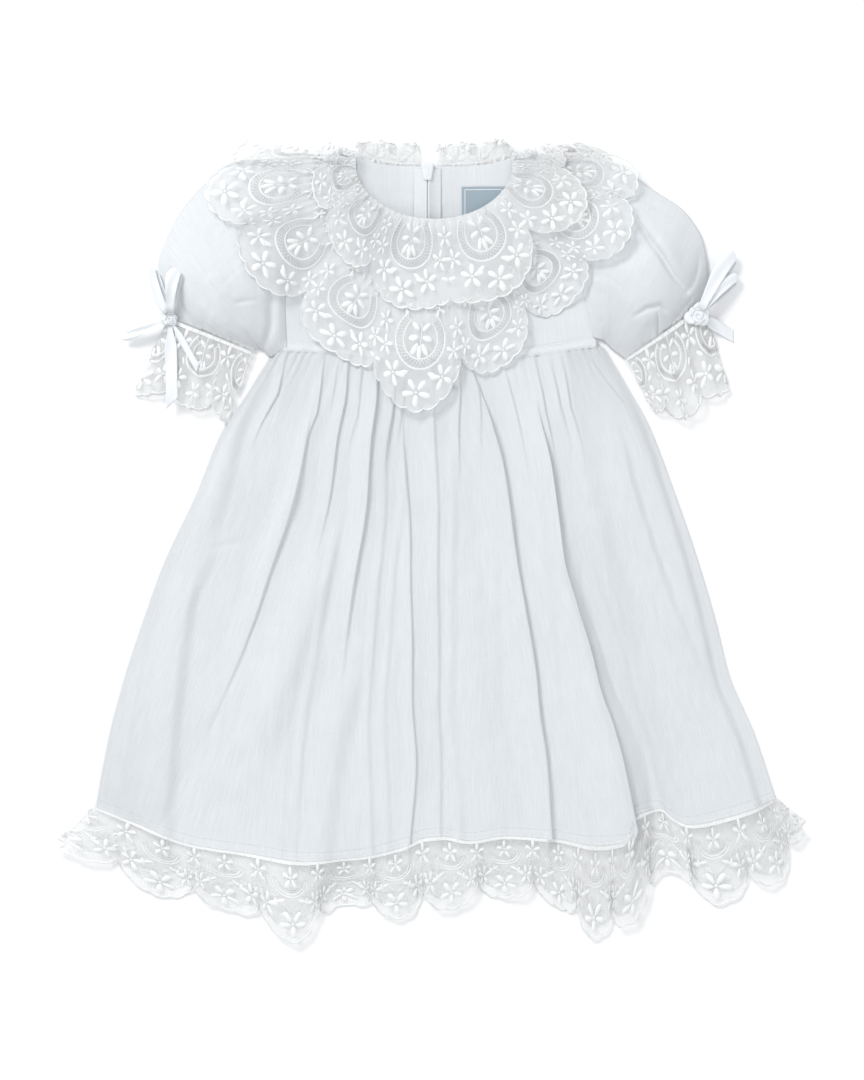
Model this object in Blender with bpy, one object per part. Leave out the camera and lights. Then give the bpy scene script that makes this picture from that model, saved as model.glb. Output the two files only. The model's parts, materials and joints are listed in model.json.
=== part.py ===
"""A small child's white linen dress, laid flat on its back: gathered skirt, short
puff sleeves with ribbon bows, a two-tier lace collar, and lace at the cuffs and hem.

Run with: blender --background --python part.py

Lengths here are millimetres and become metres where a mesh is made. X runs across
the dress, +Y points from the hem to the neck and +Z up from the table it lies on.
"""

import math

import bmesh
import bpy
import numpy as np
from mathutils import Vector

MM = 0.001

# Cloth.
LINEN = 1.2
LACE = 1.0
RIBBON = 0.8
SEAM_GAP = 0.3
LAYER_GAP = 0.35

# Main sizes, with the middle of the neck opening as the centre of the collar.
NECK_CENTRE = (1.6, 300.0)
NECK_HALF_WIDTH = 62.0
NECK_FRONT_DROP = 43.0
SHOULDER_TOP = 311.0
WAISTBAND_HEIGHT = 6.0
LACE_WIDTH = 66.0
SCALLOP_DEPTH = 20.0
GATHERS = 28
GATHER_RISE = 1.7
CENTRE_BACK = -3.6
ZIP_WIDTH = 22.0
CUFF_WAVES = 9

# How finely the walls are divided.
SKIRT_COLUMNS = 4 * GATHERS
BACK_COLUMNS = 24
SKIRT_ROWS = 7

# The skirt's side outlines: share of the drop, left edge, right edge.
SKIRT_SIDES = (
    (0.00, -130, 138),
    (0.08, -148, 155),
    (0.17, -169, 173),
    (0.30, -188, 191),
    (0.46, -215, 211),
    (0.60, -233, 226),
    (0.72, -247, 237),
    (0.85, -259, 257),
    (1.00, -269, 275),
)

# Height on the page of the waist seam: share of the width, y.
WAIST_LINE = ((0, 146), (0.05, 153), (0.22, 150.5), (0.37, 146.5), (0.66, 146.5), (0.83, 151), (0.97, 156), (1, 154))

# Height on the page of the linen's lower edge: share of the width, y.
HEM_LINE = (
    (0.00, -214), (0.065, -228), (0.14, -244), (0.225, -251), (0.31, -257), (0.38, -255),
    (0.45, -246), (0.485, -238), (0.51, -237), (0.55, -241), (0.60, -237), (0.67, -239),
    (0.74, -244), (0.776, -241), (0.792, -220), (0.83, -215), (0.845, -222), (0.87, -228), (0.93, -221), (1.0, -208),
)

# The skirt's folds: place at the waist, at mid drop and at the hem as shares of the
# width, rise, width of the left flank, width of the right flank, share of the drop
# where the fold begins and where it has died out.
FOLDS = (
    (0.075, 0.070, 0.060, 3.0, 9, 12, -0.1, 0.40),
    (0.060, 0.045, 0.045, -2.0, 14, 14, 0.25, 0.62),
    (0.165, 0.213, 0.100, 4.5, 5, 34, 0.00, 0.92),
    (0.130, 0.085, 0.118, -2.4, 13, 13, 0.50, 1.40),
    (0.240, 0.270, 0.250, 3.5, 14, 5, -0.1, 0.38),
    (0.200, 0.245, 0.215, 4.0, 34, 24, 0.42, 1.40),
    (0.340, 0.365, 0.370, 3.6, 16, 6, -0.1, 0.62),
    (0.379, 0.386, 0.390, 3.0, 8, 4, -0.1, 0.24),
    (0.446, 0.449, 0.455, 4.6, 5, 22, 0.05, 0.66),
    (0.410, 0.412, 0.430, 2.6, 10, 10, 0.10, 0.85),
    (0.480, 0.478, 0.477, 3.8, 7, 6, 0.55, 1.40),
    (0.505, 0.508, 0.511, 4.4, 7, 5, 0.42, 1.40),
    (0.572, 0.562, 0.560, 3.0, 8, 5, -0.1, 0.26),
    (0.610, 0.662, 0.668, 5.6, 26, 6, 0.00, 1.40),
    (0.725, 0.738, 0.776, 8.5, 42, 5, 0.00, 1.40),
    (0.762, 0.785, 0.845, 7.0, 6, 44, 0.34, 1.40),
    (0.865, 0.832, 0.820, 3.0, 10, 5, -0.1, 0.28),
    (0.915, 0.965, 0.990, 3.4, 6, 12, -0.1, 0.30),
    (0.905, 0.905, 0.925, 2.6, 26, 26, 0.36, 1.40),
    (0.950, 0.950, 0.965, -1.6, 9, 9, 0.60, 1.40),
)

# Folds whose crest and foot each get a column of their own: row in FOLDS, side of
# the steep flank.
CRISP = ((2, -1), (8, -1), (13, 1), (14, 1), (15, -1))

# Lobes of the lower collar tier: degrees round the neck, reach of the tip and of
# the seam from the neck centre.
LOWER_LOBES = (
    (172.0, 150, 88), (187.4, 184, 92), (210.2, 171, 95), (239.7, 170, 101), (265.5, 198, 109),
    (290.4, 169, 105), (314.6, 155, 98), (339.5, 166, 94), (357.5, 163, 92), (369.0, 118, 88),
)

# Lobes of the upper collar tier: degrees round the neck, reach of the tip.
UPPER_LOBES = (
    (174.0, 86), (184.0, 96), (201.0, 104), (226.0, 104), (253.0, 114),
    (279.0, 111), (302.0, 117), (322.0, 112), (341.0, 124), (357.5, 116), (369.0, 96),
)

# Lobes of the hem lace: share of the hem that each hangs from, and its tip.
HEM_LOBES = (
    (0.000, -299, -247), (0.100, -218, -284), (0.190, -166, -294), (0.285, -110, -321), (0.365, -70, -291),
    (0.440, -28, -302), (0.520, 16, -294), (0.600, 58, -285), (0.680, 102, -294), (0.735, 129, -318),
    (0.782, 161, -304), (0.832, 189, -264), (0.905, 228, -291), (0.970, 280, -271), (1.000, 298, -232),
)

# Sections of the sleeves from armhole to cuff: lower end x and y, upper end x and y,
# height of the puff.
LEFT_SLEEVE = (
    (-119, 163, -114.5, 305, 5), (-123, 162, -153, 304, 14), (-128, 161, -184, 283, 20), (-133, 159, -208, 250, 22),
    (-138, 157, -219, 218, 19), (-141, 155, -218, 197, 13), (-142, 152, -211, 180, 7),
)
RIGHT_SLEEVE = (
    (133.5, 163, 112.5, 304, 5), (137, 160, 144, 302, 14), (140, 157, 176, 281, 20), (144, 153, 203, 262, 22),
    (148, 150, 217, 237, 19), (151, 148, 220, 213, 13), (154, 146, 217, 191, 7),
)

# Outer edge of the cuff lace: lower end, middle and upper end.
LEFT_FRILL = ((-163, 104), (-197, 95), (-240, 125))
RIGHT_FRILL = ((178, 104), (205, 95), (238, 150))

COLOURS = {
    "linen": (0.80, 0.83, 0.84, 1),
    "lace": (0.84, 0.86, 0.86, 1),
    "ribbon": (0.86, 0.87, 0.89, 1),
    "zip": (0.88, 0.89, 0.90, 1),
    "label": (0.48, 0.58, 0.66, 1),
}


def through(rows, at, column=1):
    """The value at a position on a smooth curve through a table's rows."""
    x = np.array([row[0] for row in rows], float)
    y = np.array([row[column] for row in rows], float)
    rise = np.diff(y) / np.diff(x)
    both = rise[:-1] * rise[1:]
    middle = np.where(both > 0, 2 * both / np.where(both > 0, rise[:-1] + rise[1:], 1), 0)
    slope = np.concatenate([rise[:1], middle, rise[-1:]])
    at = np.clip(np.asarray(at, float), x[0], x[-1])
    k = np.clip(np.searchsorted(x, at) - 1, 0, len(x) - 2)
    step = x[k + 1] - x[k]
    t = (at - x[k]) / step
    start = (2 * t**3 - 3 * t**2 + 1) * y[k] + (t**3 - 2 * t**2 + t) * step * slope[k]
    end = (3 * t**2 - 2 * t**3) * y[k + 1] + (t**3 - t**2) * step * slope[k + 1]
    return start + end


def ease(value, low, high):
    """0 up to low, 1 from high on, and a smooth rise between them."""
    t = np.clip((np.asarray(value, float) - low) / (high - low), 0, 1)
    return t * t * (3 - 2 * t)


# Armhole edges: y, x.
LEFT_ARMHOLE = ((150, -118), (197, -119.2), (250, -117), (305, -113.6))
RIGHT_ARMHOLE = ((150, 134), (180, 127), (214, 119.5), (255, 115.5), (305, 112.5))

# The back collar's section from its seam, over the roll and back under the dress:
# share of the way, distance above the neckline, height of the outer face.
BACK_ROLL = (
    (0, 0, 3.2), (0.2, 11, 3.2), (0.3, 16, 3.1), (0.36, 17.9, 2.6), (0.4, 18.5, 1.6),
    (0.44, 17.9, 0.6), (0.5, 16, 0.05), (0.75, -5, 0.0), (1, -27, 0.0),
)

# The zip's slider: height of its seat, the bail that holds the pull and its eye.
TAPE = 0.8
BAIL_Y = 297.0
BAIL_Z = 1.4
SLIDER_LOW = 288.0
SLIDER_HIGH = 302.6
EYE = ((0.35, 0.82), (-0.35, 0.82), (-0.85, 0.35), (-0.85, -0.35), (-0.35, -0.82), (0.35, -0.82), (0.85, -0.35), (0.85, 0.35))

# Creases of the sleeves: both ends on the page, depth and half width.
LEFT_CREASES = ((-130, 205, -126, 158, 5, 8), (-190, 262, -150, 212, 5, 16), (-150, 238, -128, 232, 3, 7))
RIGHT_CREASES = ((157, 270, 176, 233, 7, 9), (176, 233, 205, 205, 6, 9), (132, 214, 176, 246, 4, 10), (172, 197, 173, 165, 3, 6))

# Ribbon roses: side, centre.
ROSES = (("left", (-211, 174)), ("right", (213, 183)))
ROSE_EDGE = 7.5

# Ribbon loops: name, side, tip, width, height.
LOOPS = (
    ("ribbon_loop_left_upper", "left", (-227, 218), 9.5, 5),
    ("ribbon_loop_left_inner", "left", (-204, 215), 9.5, 5),
    ("ribbon_loop_left_outer", "left", (-247, 161), 11, 5),
    ("ribbon_loop_right_upper", "right", (239, 231), 10, 5),
    ("ribbon_loop_right_lower", "right", (252, 206), 10, 5),
)

# Ribbon tails: name, side, tip, width.
TAILS = (
    ("ribbon_tail_left_long", "left", (-207, 105), 9),
    ("ribbon_tail_left_short", "left", (-184, 138), 8),
    ("ribbon_tail_right", "right", (243, 163), 9),
)

# The pile: how high the layers laid so far reach, cell by cell.
CELL = 1.0
MAP_HALF = 340.0
MAP_CELLS = int(2 * MAP_HALF / CELL)
pile = np.zeros((MAP_CELLS, MAP_CELLS))


def cell_of(x, y):
    """Indices of the pile's cell at a place."""
    i = np.clip(((x + MAP_HALF) / CELL).astype(int), 1, MAP_CELLS - 2)
    j = np.clip(((y + MAP_HALF) / CELL).astype(int), 1, MAP_CELLS - 2)
    return i, j


def lay_on_pile(grid):
    """Records a sheet's points, and points between them, on the pile."""
    longest = max(np.abs(np.diff(grid[..., :2], axis=0)).max(), np.abs(np.diff(grid[..., :2], axis=1)).max())
    share = np.linspace(0, 1, int(longest / CELL) + 2)
    near, far = grid[:-1, :-1], grid[1:, 1:]
    for a in share:
        for b in share:
            corner = grid[1:, :-1] if a > b else grid[:-1, 1:]
            more, less = max(a, b), min(a, b)
            point = near * (1 - more) + corner * (more - less) + far * less
            np.maximum.at(pile, cell_of(point[..., 0], point[..., 1]), point[..., 2])


def pile_height(x, y):
    """The highest of the pile's cells at and around a place."""
    i, j = cell_of(x, y)
    around = [pile[i + a, j + b] for a in (-1, 0, 1) for b in (-1, 0, 1)]
    return np.max(around, axis=0)


def settle(x, y, wish, gap=LAYER_GAP, rounds=90):
    """Raises a sheet's points until both triangles of every cell clear the pile."""
    z = np.maximum(wish, pile_height(x, y) + gap)
    samples = [(a / 8, b / 8, 1 - (a + b) / 8) for a in range(9) for b in range(9 - a)]
    for _ in range(rounds):
        lift = np.zeros_like(z)
        for corners in (((0, 0), (1, 0), (1, 1)), ((0, 0), (1, 1), (0, 1))):
            part = [tuple(slice(k, k + n - 1) for k, n in zip(corner, z.shape)) for corner in corners]
            for share in samples:
                px = sum(w * x[s] for w, s in zip(share, part))
                py = sum(w * y[s] for w, s in zip(share, part))
                pz = sum(w * z[s] for w, s in zip(share, part))
                short = np.maximum(pile_height(px, py) + gap - pz, 0) / sum(w * w for w in share)
                for w, s in zip(share, part):
                    lift[s] = np.maximum(lift[s], short * w)
        z += 0.5 * lift
        if lift.max() < 0.02:
            break
    return z


# Shapes of the cloth.


def skirt_width(v):
    """Distance between the side seams at a share of the drop."""
    return through(SKIRT_SIDES, v, 2) - through(SKIRT_SIDES, v, 1)


def fold_place(fold, v):
    """Share of the width where a fold's crest runs at this drop."""
    return through(((0, fold[0]), (0.45, fold[1]), (1, fold[2])), v)


def flank(width, across):
    """A fold's flank is narrower where the skirt is narrower."""
    return width * (0.45 + 0.55 * across / skirt_width(1.0))


def skirt_columns(c, drop):
    """Share of the width of each column, pulled so that crisp folds have columns."""
    width = skirt_width(drop)
    at, share = [0.0], [0.0]
    for index, side in CRISP:
        fold = FOLDS[index]
        column = round(fold[1] * SKIRT_COLUMNS)
        crest = fold_place(fold, drop)
        foot = crest + side * flank(fold[4 if side < 0 else 5], width) / width
        pair = sorted([(column / SKIRT_COLUMNS, crest), ((column + side) / SKIRT_COLUMNS, foot)])
        at += [pair[0][0], pair[1][0]]
        share += [pair[0][1], pair[1][1]]
    return np.interp(c, at + [1.0], share + [1.0])


def skirt_outline(across, v):
    """Where the skirt's cloth lies on the page."""
    x = through(SKIRT_SIDES, v, 1) + skirt_width(v) * across
    top = through(WAIST_LINE, across)
    return x, top + (through(HEM_LINE, across) - top) * v


def skirt_front(c, v):
    """The front of the skirt: gathers at the waist running into folds."""
    across = np.stack([skirt_columns(c[:, row], v[0, row]) for row in range(c.shape[1])], axis=1)
    x, y = skirt_outline(across, v)
    width = skirt_width(v)
    z = np.zeros_like(x)
    for fold in FOLDS:
        away = (across - fold_place(fold, v)) * width
        side = np.where(away < 0, flank(fold[4], width), flank(fold[5], width))
        shape = 0.5 + 0.5 * np.cos(math.pi * np.clip(np.abs(away) / side, 0, 1))
        begin, end = fold[6], fold[7]
        z += fold[3] * shape * ease(v, begin, begin + 0.22) * (1 - ease(v, end - 0.25, end))
    number = np.floor(c * GATHERS)
    depth = 0.75 + 0.25 * np.sin(number * 2.4)
    length = 0.13 + 0.06 * np.sin(number * 1.7 + 1)
    z += GATHER_RISE * depth * (1 - np.cos(2 * math.pi * GATHERS * c)) * np.exp(-((v / length) ** 1.5))
    loft = 1.4 * np.sin(math.pi * across) ** 0.5 + 1.2 * np.exp(-v / 0.12)
    edge = ease(np.minimum(across, 1 - across), 0.0, 0.06)
    return x, y, LINEN + SEAM_GAP + 0.1 + np.maximum(z + loft, 0) * (0.12 + 0.88 * edge)


def scallop(s):
    """How far the lace reaches at this lobe count, as a share of its width."""
    lobe = np.abs(np.cos(math.pi * (s % 1.0)))
    return 1 - SCALLOP_DEPTH / LACE_WIDTH * (1 - lobe**0.8)


def ring_point(angle, reach_x, reach_y):
    """A point round the neck, at an angle in degrees."""
    turn = np.radians(angle)
    return NECK_CENTRE[0] + reach_x * np.cos(turn), NECK_CENTRE[1] + reach_y * np.sin(turn)


def numbered(rows):
    """A table of lobes with the lobe's number put in front."""
    return tuple((number, *row) for number, row in enumerate(rows))


def collar_tier(lobes, s, t, seam_x, seam_y):
    """One collar tier on the page, from its seam out to its scalloped edge."""
    rows = numbered(lobes)
    angle = through(rows, s, 1)
    share = t * scallop(s)
    seam = ring_point(angle, seam_x, seam_y)
    tip = ring_point(angle, through(rows, s, 2), through(rows, s, 2))
    x = seam[0] + (tip[0] - seam[0]) * share
    y = seam[1] + (tip[1] - seam[1]) * share
    return x, y


def ripple(s, t, waves, rise):
    """Ruffle waves: close at the seam, one to a lobe towards the free edge."""
    uneven = 0.25 * np.sin(2 * math.pi * s * 0.37 + 1)
    close = 0.5 - 0.5 * np.cos(2 * math.pi * (waves * s + uneven))
    wide = 0.5 - 0.5 * np.cos(2 * math.pi * (s + 0.5 + uneven))
    return rise * (close * (0.35 + 0.4 * np.sin(math.pi * t)) + wide * t)


def hem_lace(s, t, hem_x, hem_y, drop):
    """The lace on the page, hanging from the corners of a skirt panel's lower edge."""
    rows = numbered(HEM_LOBES)
    x0 = hem_x[0] + (hem_x[-1] - hem_x[0]) * through(rows, s, 1)
    y0 = np.min([np.interp(x0 + aside, hem_x, hem_y) for aside in (-5, -2, 0, 2, 5)], axis=0)
    reach = t * scallop(s)
    x = x0 + (through(rows, s, 2) - x0) * reach
    return x, y0 - 1.2 + (through(rows, s, 3) + drop - y0) * reach


def neck_edge(x):
    """Height on the page of the front's top edge: the neck curve, or the shoulder."""
    inside = np.clip(1 - ((x - NECK_CENTRE[0]) / NECK_HALF_WIDTH) ** 2, 0, 1)
    neck = NECK_CENTRE[1] - NECK_FRONT_DROP * np.sqrt(inside)
    shoulder = SHOULDER_TOP - (np.abs(x - NECK_CENTRE[0]) - NECK_HALF_WIDTH) * 0.115
    return np.where(np.abs(x - NECK_CENTRE[0]) < NECK_HALF_WIDTH, neck, shoulder)


def back_neck(x):
    """Height on the page of the back neckline, nearly straight and rising to the shoulders."""
    off = np.abs(x - NECK_CENTRE[0]) / NECK_HALF_WIDTH
    return np.minimum(NECK_CENTRE[1] - 0.4 + 7 * off**4, SHOULDER_TOP - 4 - 7 * (off - 1).clip(0))


def waist_top(x, lift):
    """Height on the page of the waist seam's upper edge."""
    share = (x - through(SKIRT_SIDES, 0, 1)) / skirt_width(0)
    return through(WAIST_LINE, np.clip(share, 0, 1)) + lift


# Building solids.


def material(name):
    """A plain finish in the part's colour, made once for each cloth."""
    found = bpy.data.materials.get(name)
    if found:
        return found
    made = bpy.data.materials.new(name)
    made.use_nodes = True
    shader = made.node_tree.nodes["Principled BSDF"]
    shader.inputs["Base Color"].default_value = COLOURS[name]
    shader.inputs["Roughness"].default_value = 0.35 if name == "ribbon" else 0.85
    made.diffuse_color = COLOURS[name]
    return made


def solid(name, points, faces, cloth, origin=(0, 0, 0)):
    """A closed mesh object from points in millimetres."""
    mesh = bpy.data.meshes.new(name)
    mesh.from_pydata([(Vector(p) - Vector(origin)) * MM for p in points], [], faces)
    shaped = bmesh.new()
    shaped.from_mesh(mesh)
    bmesh.ops.recalc_face_normals(shaped, faces=shaped.faces)
    shaped.to_mesh(mesh)
    shaped.free()
    mesh.materials.append(material(cloth))
    made = bpy.data.objects.new(name, mesh)
    made.location = Vector(origin) * MM
    bpy.context.scene.collection.objects.link(made)
    return made


def normals_of(grid):
    """Unit normals of a grid of points, on its upper side."""
    normal = np.cross(np.gradient(grid, axis=0), np.gradient(grid, axis=1))
    normal /= np.linalg.norm(normal, axis=2, keepdims=True)
    return normal * np.where(normal[..., 2:] < 0, -1, 1)


def cells(rows, columns, start=0, closed=False):
    """Triangles of a grid of points, numbered row by row; closed joins the columns' ends."""
    made = []
    for i in range(rows - 1):
        for j in range(columns if closed else columns - 1):
            k = (j + 1) % columns
            a, b = start + i * columns, start + (i + 1) * columns
            made += [(a + j, b + j, b + k), (a + j, b + k, a + k)]
    return made


def bridged(loop, other):
    """Faces between two closed loops of the same length."""
    count = len(loop)
    return [(loop[k], loop[(k + 1) % count], other[(k + 1) % count], other[k]) for k in range(count)]


def rim(rows, columns):
    """Indices round the outside of a grid."""
    last = (rows - 1) * columns
    return (
        list(range(columns))
        + [i * columns + columns - 1 for i in range(1, rows)]
        + [last + j for j in range(columns - 2, -1, -1)]
        + [i * columns for i in range(rows - 2, 0, -1)]
    )


def wall(name, face, other, cloth):
    """A closed wall between two grids of points, one on each side of the cloth."""
    rows, columns = face.shape[:2]
    count = rows * columns
    edge = rim(rows, columns)
    faces = cells(rows, columns) + cells(rows, columns, count) + bridged(edge, [k + count for k in edge])
    return solid(name, np.concatenate([face.reshape(-1, 3), other.reshape(-1, 3)]), faces, cloth)


def sheet(name, under, thick, cloth):
    """Cloth whose lower side is given. Returns its upper side, still to be laid on the pile."""
    upper = under + normals_of(under) * thick
    wall(name, under, upper, cloth)
    return upper


def tube(name, outer, inner, cloth):
    """A cloth tube open at both ends, from rings of outer and inner points."""
    rows, columns = outer.shape[:2]
    count = rows * columns
    faces = cells(rows, columns, 0, True) + cells(rows, columns, count, True)
    for row in (0, rows - 1):
        loop = [row * columns + j for j in range(columns)]
        faces += bridged(loop, [k + count for k in loop])
    lay_on_pile(np.concatenate([outer, outer[:, :1]], axis=1))
    return solid(name, np.concatenate([outer.reshape(-1, 3), inner.reshape(-1, 3)]), faces, cloth)


def block(name, low, high, cloth):
    """A box between two corners."""
    corners = [(x, y, z) for x in (low[0], high[0]) for y in (low[1], high[1]) for z in (low[2], high[2])]
    faces = [(0, 1, 3, 2), (4, 6, 7, 5), (0, 4, 5, 1), (2, 3, 7, 6), (0, 2, 6, 4), (1, 5, 7, 3)]
    return solid(name, corners, faces, cloth)


def slab(name, outline, low, high, cloth):
    """An outline on the y-z plane drawn out along x."""
    count = len(outline)
    points = [(x, y, z) for x in (low, high) for y, z in outline]
    front, back = list(range(count)), list(range(count, 2 * count))
    return solid(name, points, [*bridged(front, back), tuple(front), tuple(reversed(back))], cloth)


def grid(columns, rows):
    """Grids of a column share and a row share."""
    return np.meshgrid(np.linspace(0, 1, columns + 1), np.linspace(0, 1, rows + 1), indexing="ij")


def stacked(x, y, z):
    """One grid of points from three grids of numbers."""
    return np.stack([x, y, np.broadcast_to(z, x.shape)], axis=2)


# The pieces, from the table upwards.


def make_collar_back():
    """Lace behind the neck: it stands above the back neckline, rolls over and lies under the back."""
    under = []
    for name, first, last in (("collar_back_left", -61, -10.5), ("collar_back_right", 3.3, 64)):
        c, t = grid(10, 10)
        x = first + (last - first) * c
        rise = through(BACK_ROLL, t, 1)
        off = np.abs(x - NECK_CENTRE[0]) / NECK_HALF_WIDTH
        crown = 0.92 + 0.07 * np.sin(14 * c + first) - 0.35 * off**4
        seam = np.maximum(back_neck(x - 8), back_neck(x + 8)) + 0.8
        y = seam + rise * np.where(rise > 0, crown, 1)
        z = through(BACK_ROLL, t, 2)
        along_y = np.gradient(y, axis=1)
        along_z = np.gradient(z, axis=1)
        size = np.hypot(along_y, along_z)
        wall(name, stacked(x, y, z), stacked(x, y + LACE * along_z / size, z - LACE * along_y / size), "lace")
        low = slice(7, None)
        lay_on_pile(stacked(x[:, low], y[:, low], LACE))
        under.append(stacked(x, np.maximum(y, NECK_CENTRE[1]), z))
    return under


def make_bodice_backs():
    """The two halves of the back, which meet at the zip."""
    halves = (("bodice_back_left", LEFT_ARMHOLE, CENTRE_BACK - 0.2), ("bodice_back_right", RIGHT_ARMHOLE, CENTRE_BACK + 0.2))
    laid = []
    for name, armhole, middle in halves:
        c, v = grid(8, 8)
        low = waist_top(through(armhole, 160) * (1 - c) + middle * c, WAISTBAND_HEIGHT + 1.2)
        y = low + (back_neck(through(armhole, 305) * (1 - c) + middle * c) - low) * v
        x = through(armhole, y) * (1 - c) + middle * c
        near_zip = np.exp(-((x - CENTRE_BACK) / 14) ** 2)
        wish = near_zip * (2.4 * ease(y, 258, 274) + 0.9 * ease(y, 276, 287))
        z = settle(x, y, wish, 0.3) * ease(y, 150, 170)
        laid.append(sheet(name, stacked(x, y, z), LINEN, "linen"))
    return laid


def make_zip():
    """An invisible zip: tape and coil inside the back, slider at the neck, pull tab outside."""
    offsets = np.array([-0.5, -0.13, -0.11, 0.11, 0.13, 0.5]) * ZIP_WIDTH
    x, y = np.meshgrid(CENTRE_BACK + offsets, np.linspace(155, 297.5, 8), indexing="ij")
    z = settle(x, y, 0.0, 0.35)
    z = np.broadcast_to(z.max(axis=0), x.shape)
    coil = np.where(np.abs(x - CENTRE_BACK) < 0.12 * ZIP_WIDTH, 1.0, 0.0)
    top = stacked(x, y, z + TAPE + coil)
    lay_on_pile(top)
    wall("zip_tape", stacked(x, y, z), top, "zip")
    seat = z.max() + TAPE + 1.0 + 0.3
    shape = (
        (SLIDER_LOW, 2.25), (BAIL_Y - 1.5, 2.25), (BAIL_Y - 1.5, 0.1), (BAIL_Y + 1.5, 0.1), (BAIL_Y + 1.5, 2.25),
        (SLIDER_HIGH, 2.25), (SLIDER_HIGH, seat + 1.1), (SLIDER_LOW, seat + 1.1), (SLIDER_LOW, seat),
        (SLIDER_HIGH - 2.1, seat), (SLIDER_HIGH - 2.1, 2.9), (SLIDER_LOW, 2.9),
    )
    slider = slab("zip_slider", shape, CENTRE_BACK - 1.6, CENTRE_BACK + 1.6, "zip")
    eye = slab("bail_eye", [(BAIL_Y + dy, BAIL_Z + dz) for dy, dz in EYE], CENTRE_BACK - 2, CENTRE_BACK + 2, "zip")
    crown = block("slider_crown", (CENTRE_BACK - 5, SLIDER_LOW, seat), (CENTRE_BACK + 5, SLIDER_HIGH, seat + 1.1), "zip")
    for tool, action in ((eye, "DIFFERENCE"), (crown, "UNION")):
        tool.hide_render = True
        tool.display_type = "WIRE"
        step = slider.modifiers.new(tool.name, "BOOLEAN")
        step.operation = action
        step.object = tool
        step.solver = "EXACT"


def make_zip_pull():
    """The pull tab: a plate with a window whose crossbar runs through the slider's bail."""
    half = 4.0
    window = 2.4
    outline = [(-half, 0.5), (half, 0.5), (half, -14), (2.6, -20), (-2.6, -20), (-half, -14)]
    hole = [(-window, -0.5), (window, -0.5), (window, -8), (0.8, -8.6), (-0.8, -8.6), (-window, -8)]
    points = []
    for shape in (outline, hole):
        for level in (-0.5, 0.5):
            points += [(CENTRE_BACK + x, BAIL_Y + y, BAIL_Z + level) for x, y in shape]
    rings = [list(range(6 * k, 6 * k + 6)) for k in range(4)]
    faces = bridged(rings[0], rings[1]) + bridged(rings[2], rings[3])
    faces += bridged(rings[0], rings[2]) + bridged(rings[1], rings[3])
    solid("zip_pull", points, faces, "zip", (CENTRE_BACK, BAIL_Y, BAIL_Z))


def make_label():
    """A woven label on the inside of the right back."""
    c, v = grid(6, 4)
    x = 24 + 34 * c
    y = 257 + 26 * v
    under = stacked(x, y, settle(x, y, 0.0, 0.4))
    lay_on_pile(sheet("label", under, 0.8, "label"))


def make_bodice_front():
    """The plain front, from the waistband up to the neck curve and the shoulders."""
    neck = -np.cos(np.linspace(0, math.pi, 13)) * NECK_HALF_WIDTH + NECK_CENTRE[0]
    left = np.linspace(-115, neck[0] - 1.6, 5)
    right = np.linspace(neck[-1] + 1.6, 113.5, 5)
    columns = np.concatenate([left, neck, right])
    x0, v = np.meshgrid(columns, np.linspace(0, 1, 9), indexing="ij")
    share = np.clip((x0 - columns[0]) / (columns[-1] - columns[0]), 0, 1)
    side = ease(np.abs(share - 0.5), 0.32, 0.5)

    def placed(y):
        outside = through(LEFT_ARMHOLE, y) * (1 - share) + through(RIGHT_ARMHOLE, y) * share
        return x0 * (1 - side) + outside * side

    low = waist_top(placed(160.0), WAISTBAND_HEIGHT + 1.2)
    y = low + (neck_edge(x0) - low) * v
    x = placed(y)
    edge = np.exp(-np.minimum(share, 1 - share) * 230 / 12)
    wish = 2.6 * edge * np.sin(math.pi * np.clip((y - 158) / 148, 0, 1))
    z = settle(x, y, 0.0, 0.4)
    z = np.maximum(z, LINEN + 0.5 + wish)
    lay_on_pile(sheet("bodice_front", stacked(x, y, z), LINEN, "linen"))


def make_skirt():
    """The back panel flat on the table and the front panel gathered above it."""
    c, v = grid(BACK_COLUMNS, 5)
    x, y = skirt_outline(c, v)
    sheet("skirt_back", stacked(x, y, 0.0), LINEN, "linen")
    c, v = grid(SKIRT_COLUMNS, SKIRT_ROWS)
    return sheet("skirt_front", stacked(*skirt_front(c, v**1.4)), LINEN, "linen")


def flat_tube(name, plan, top, points, base_points, rows, thick, cloth):
    """A tube lying flat: plan places u, across its mouth, and q, along it; top is its height."""
    outer, inner = [], []
    across = np.concatenate([np.linspace(0, 1, points + 1), np.linspace(1, 0, base_points + 1)])
    upper = np.arange(len(across)) <= points
    for q in np.linspace(0, 1, rows + 1):
        x, y = plan(across, np.full_like(across, q))
        length = math.hypot(x[points] - x[0], y[points] - y[0])
        inset = (thick + 0.3) / length
        inside = inset + (1 - 2 * inset) * across
        outer.append(np.stack([x, y, np.where(upper, top(across, q), 0.0)], axis=1))
        x, y = plan(inside, np.full_like(across, q))
        inner.append(np.stack([x, y, np.where(upper, top(inside, q) - 1.1 * thick, thick)], axis=1))
    return tube(name, np.array(outer), np.array(inner), cloth)


def crease_depth(rows, x, y):
    """How far creases press the cloth in at a place on the page."""
    deep = np.zeros_like(x)
    for x0, y0, x1, y1, depth, half in rows:
        run = math.hypot(x1 - x0, y1 - y0)
        along = ((x - x0) * (x1 - x0) + (y - y0) * (y1 - y0)) / run**2
        aside = np.hypot(x - x0 - (x1 - x0) * np.clip(along, 0, 1), y - y0 - (y1 - y0) * np.clip(along, 0, 1))
        deep = np.maximum(deep, depth * np.exp(-((aside / half) ** 2)))
    return deep


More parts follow.
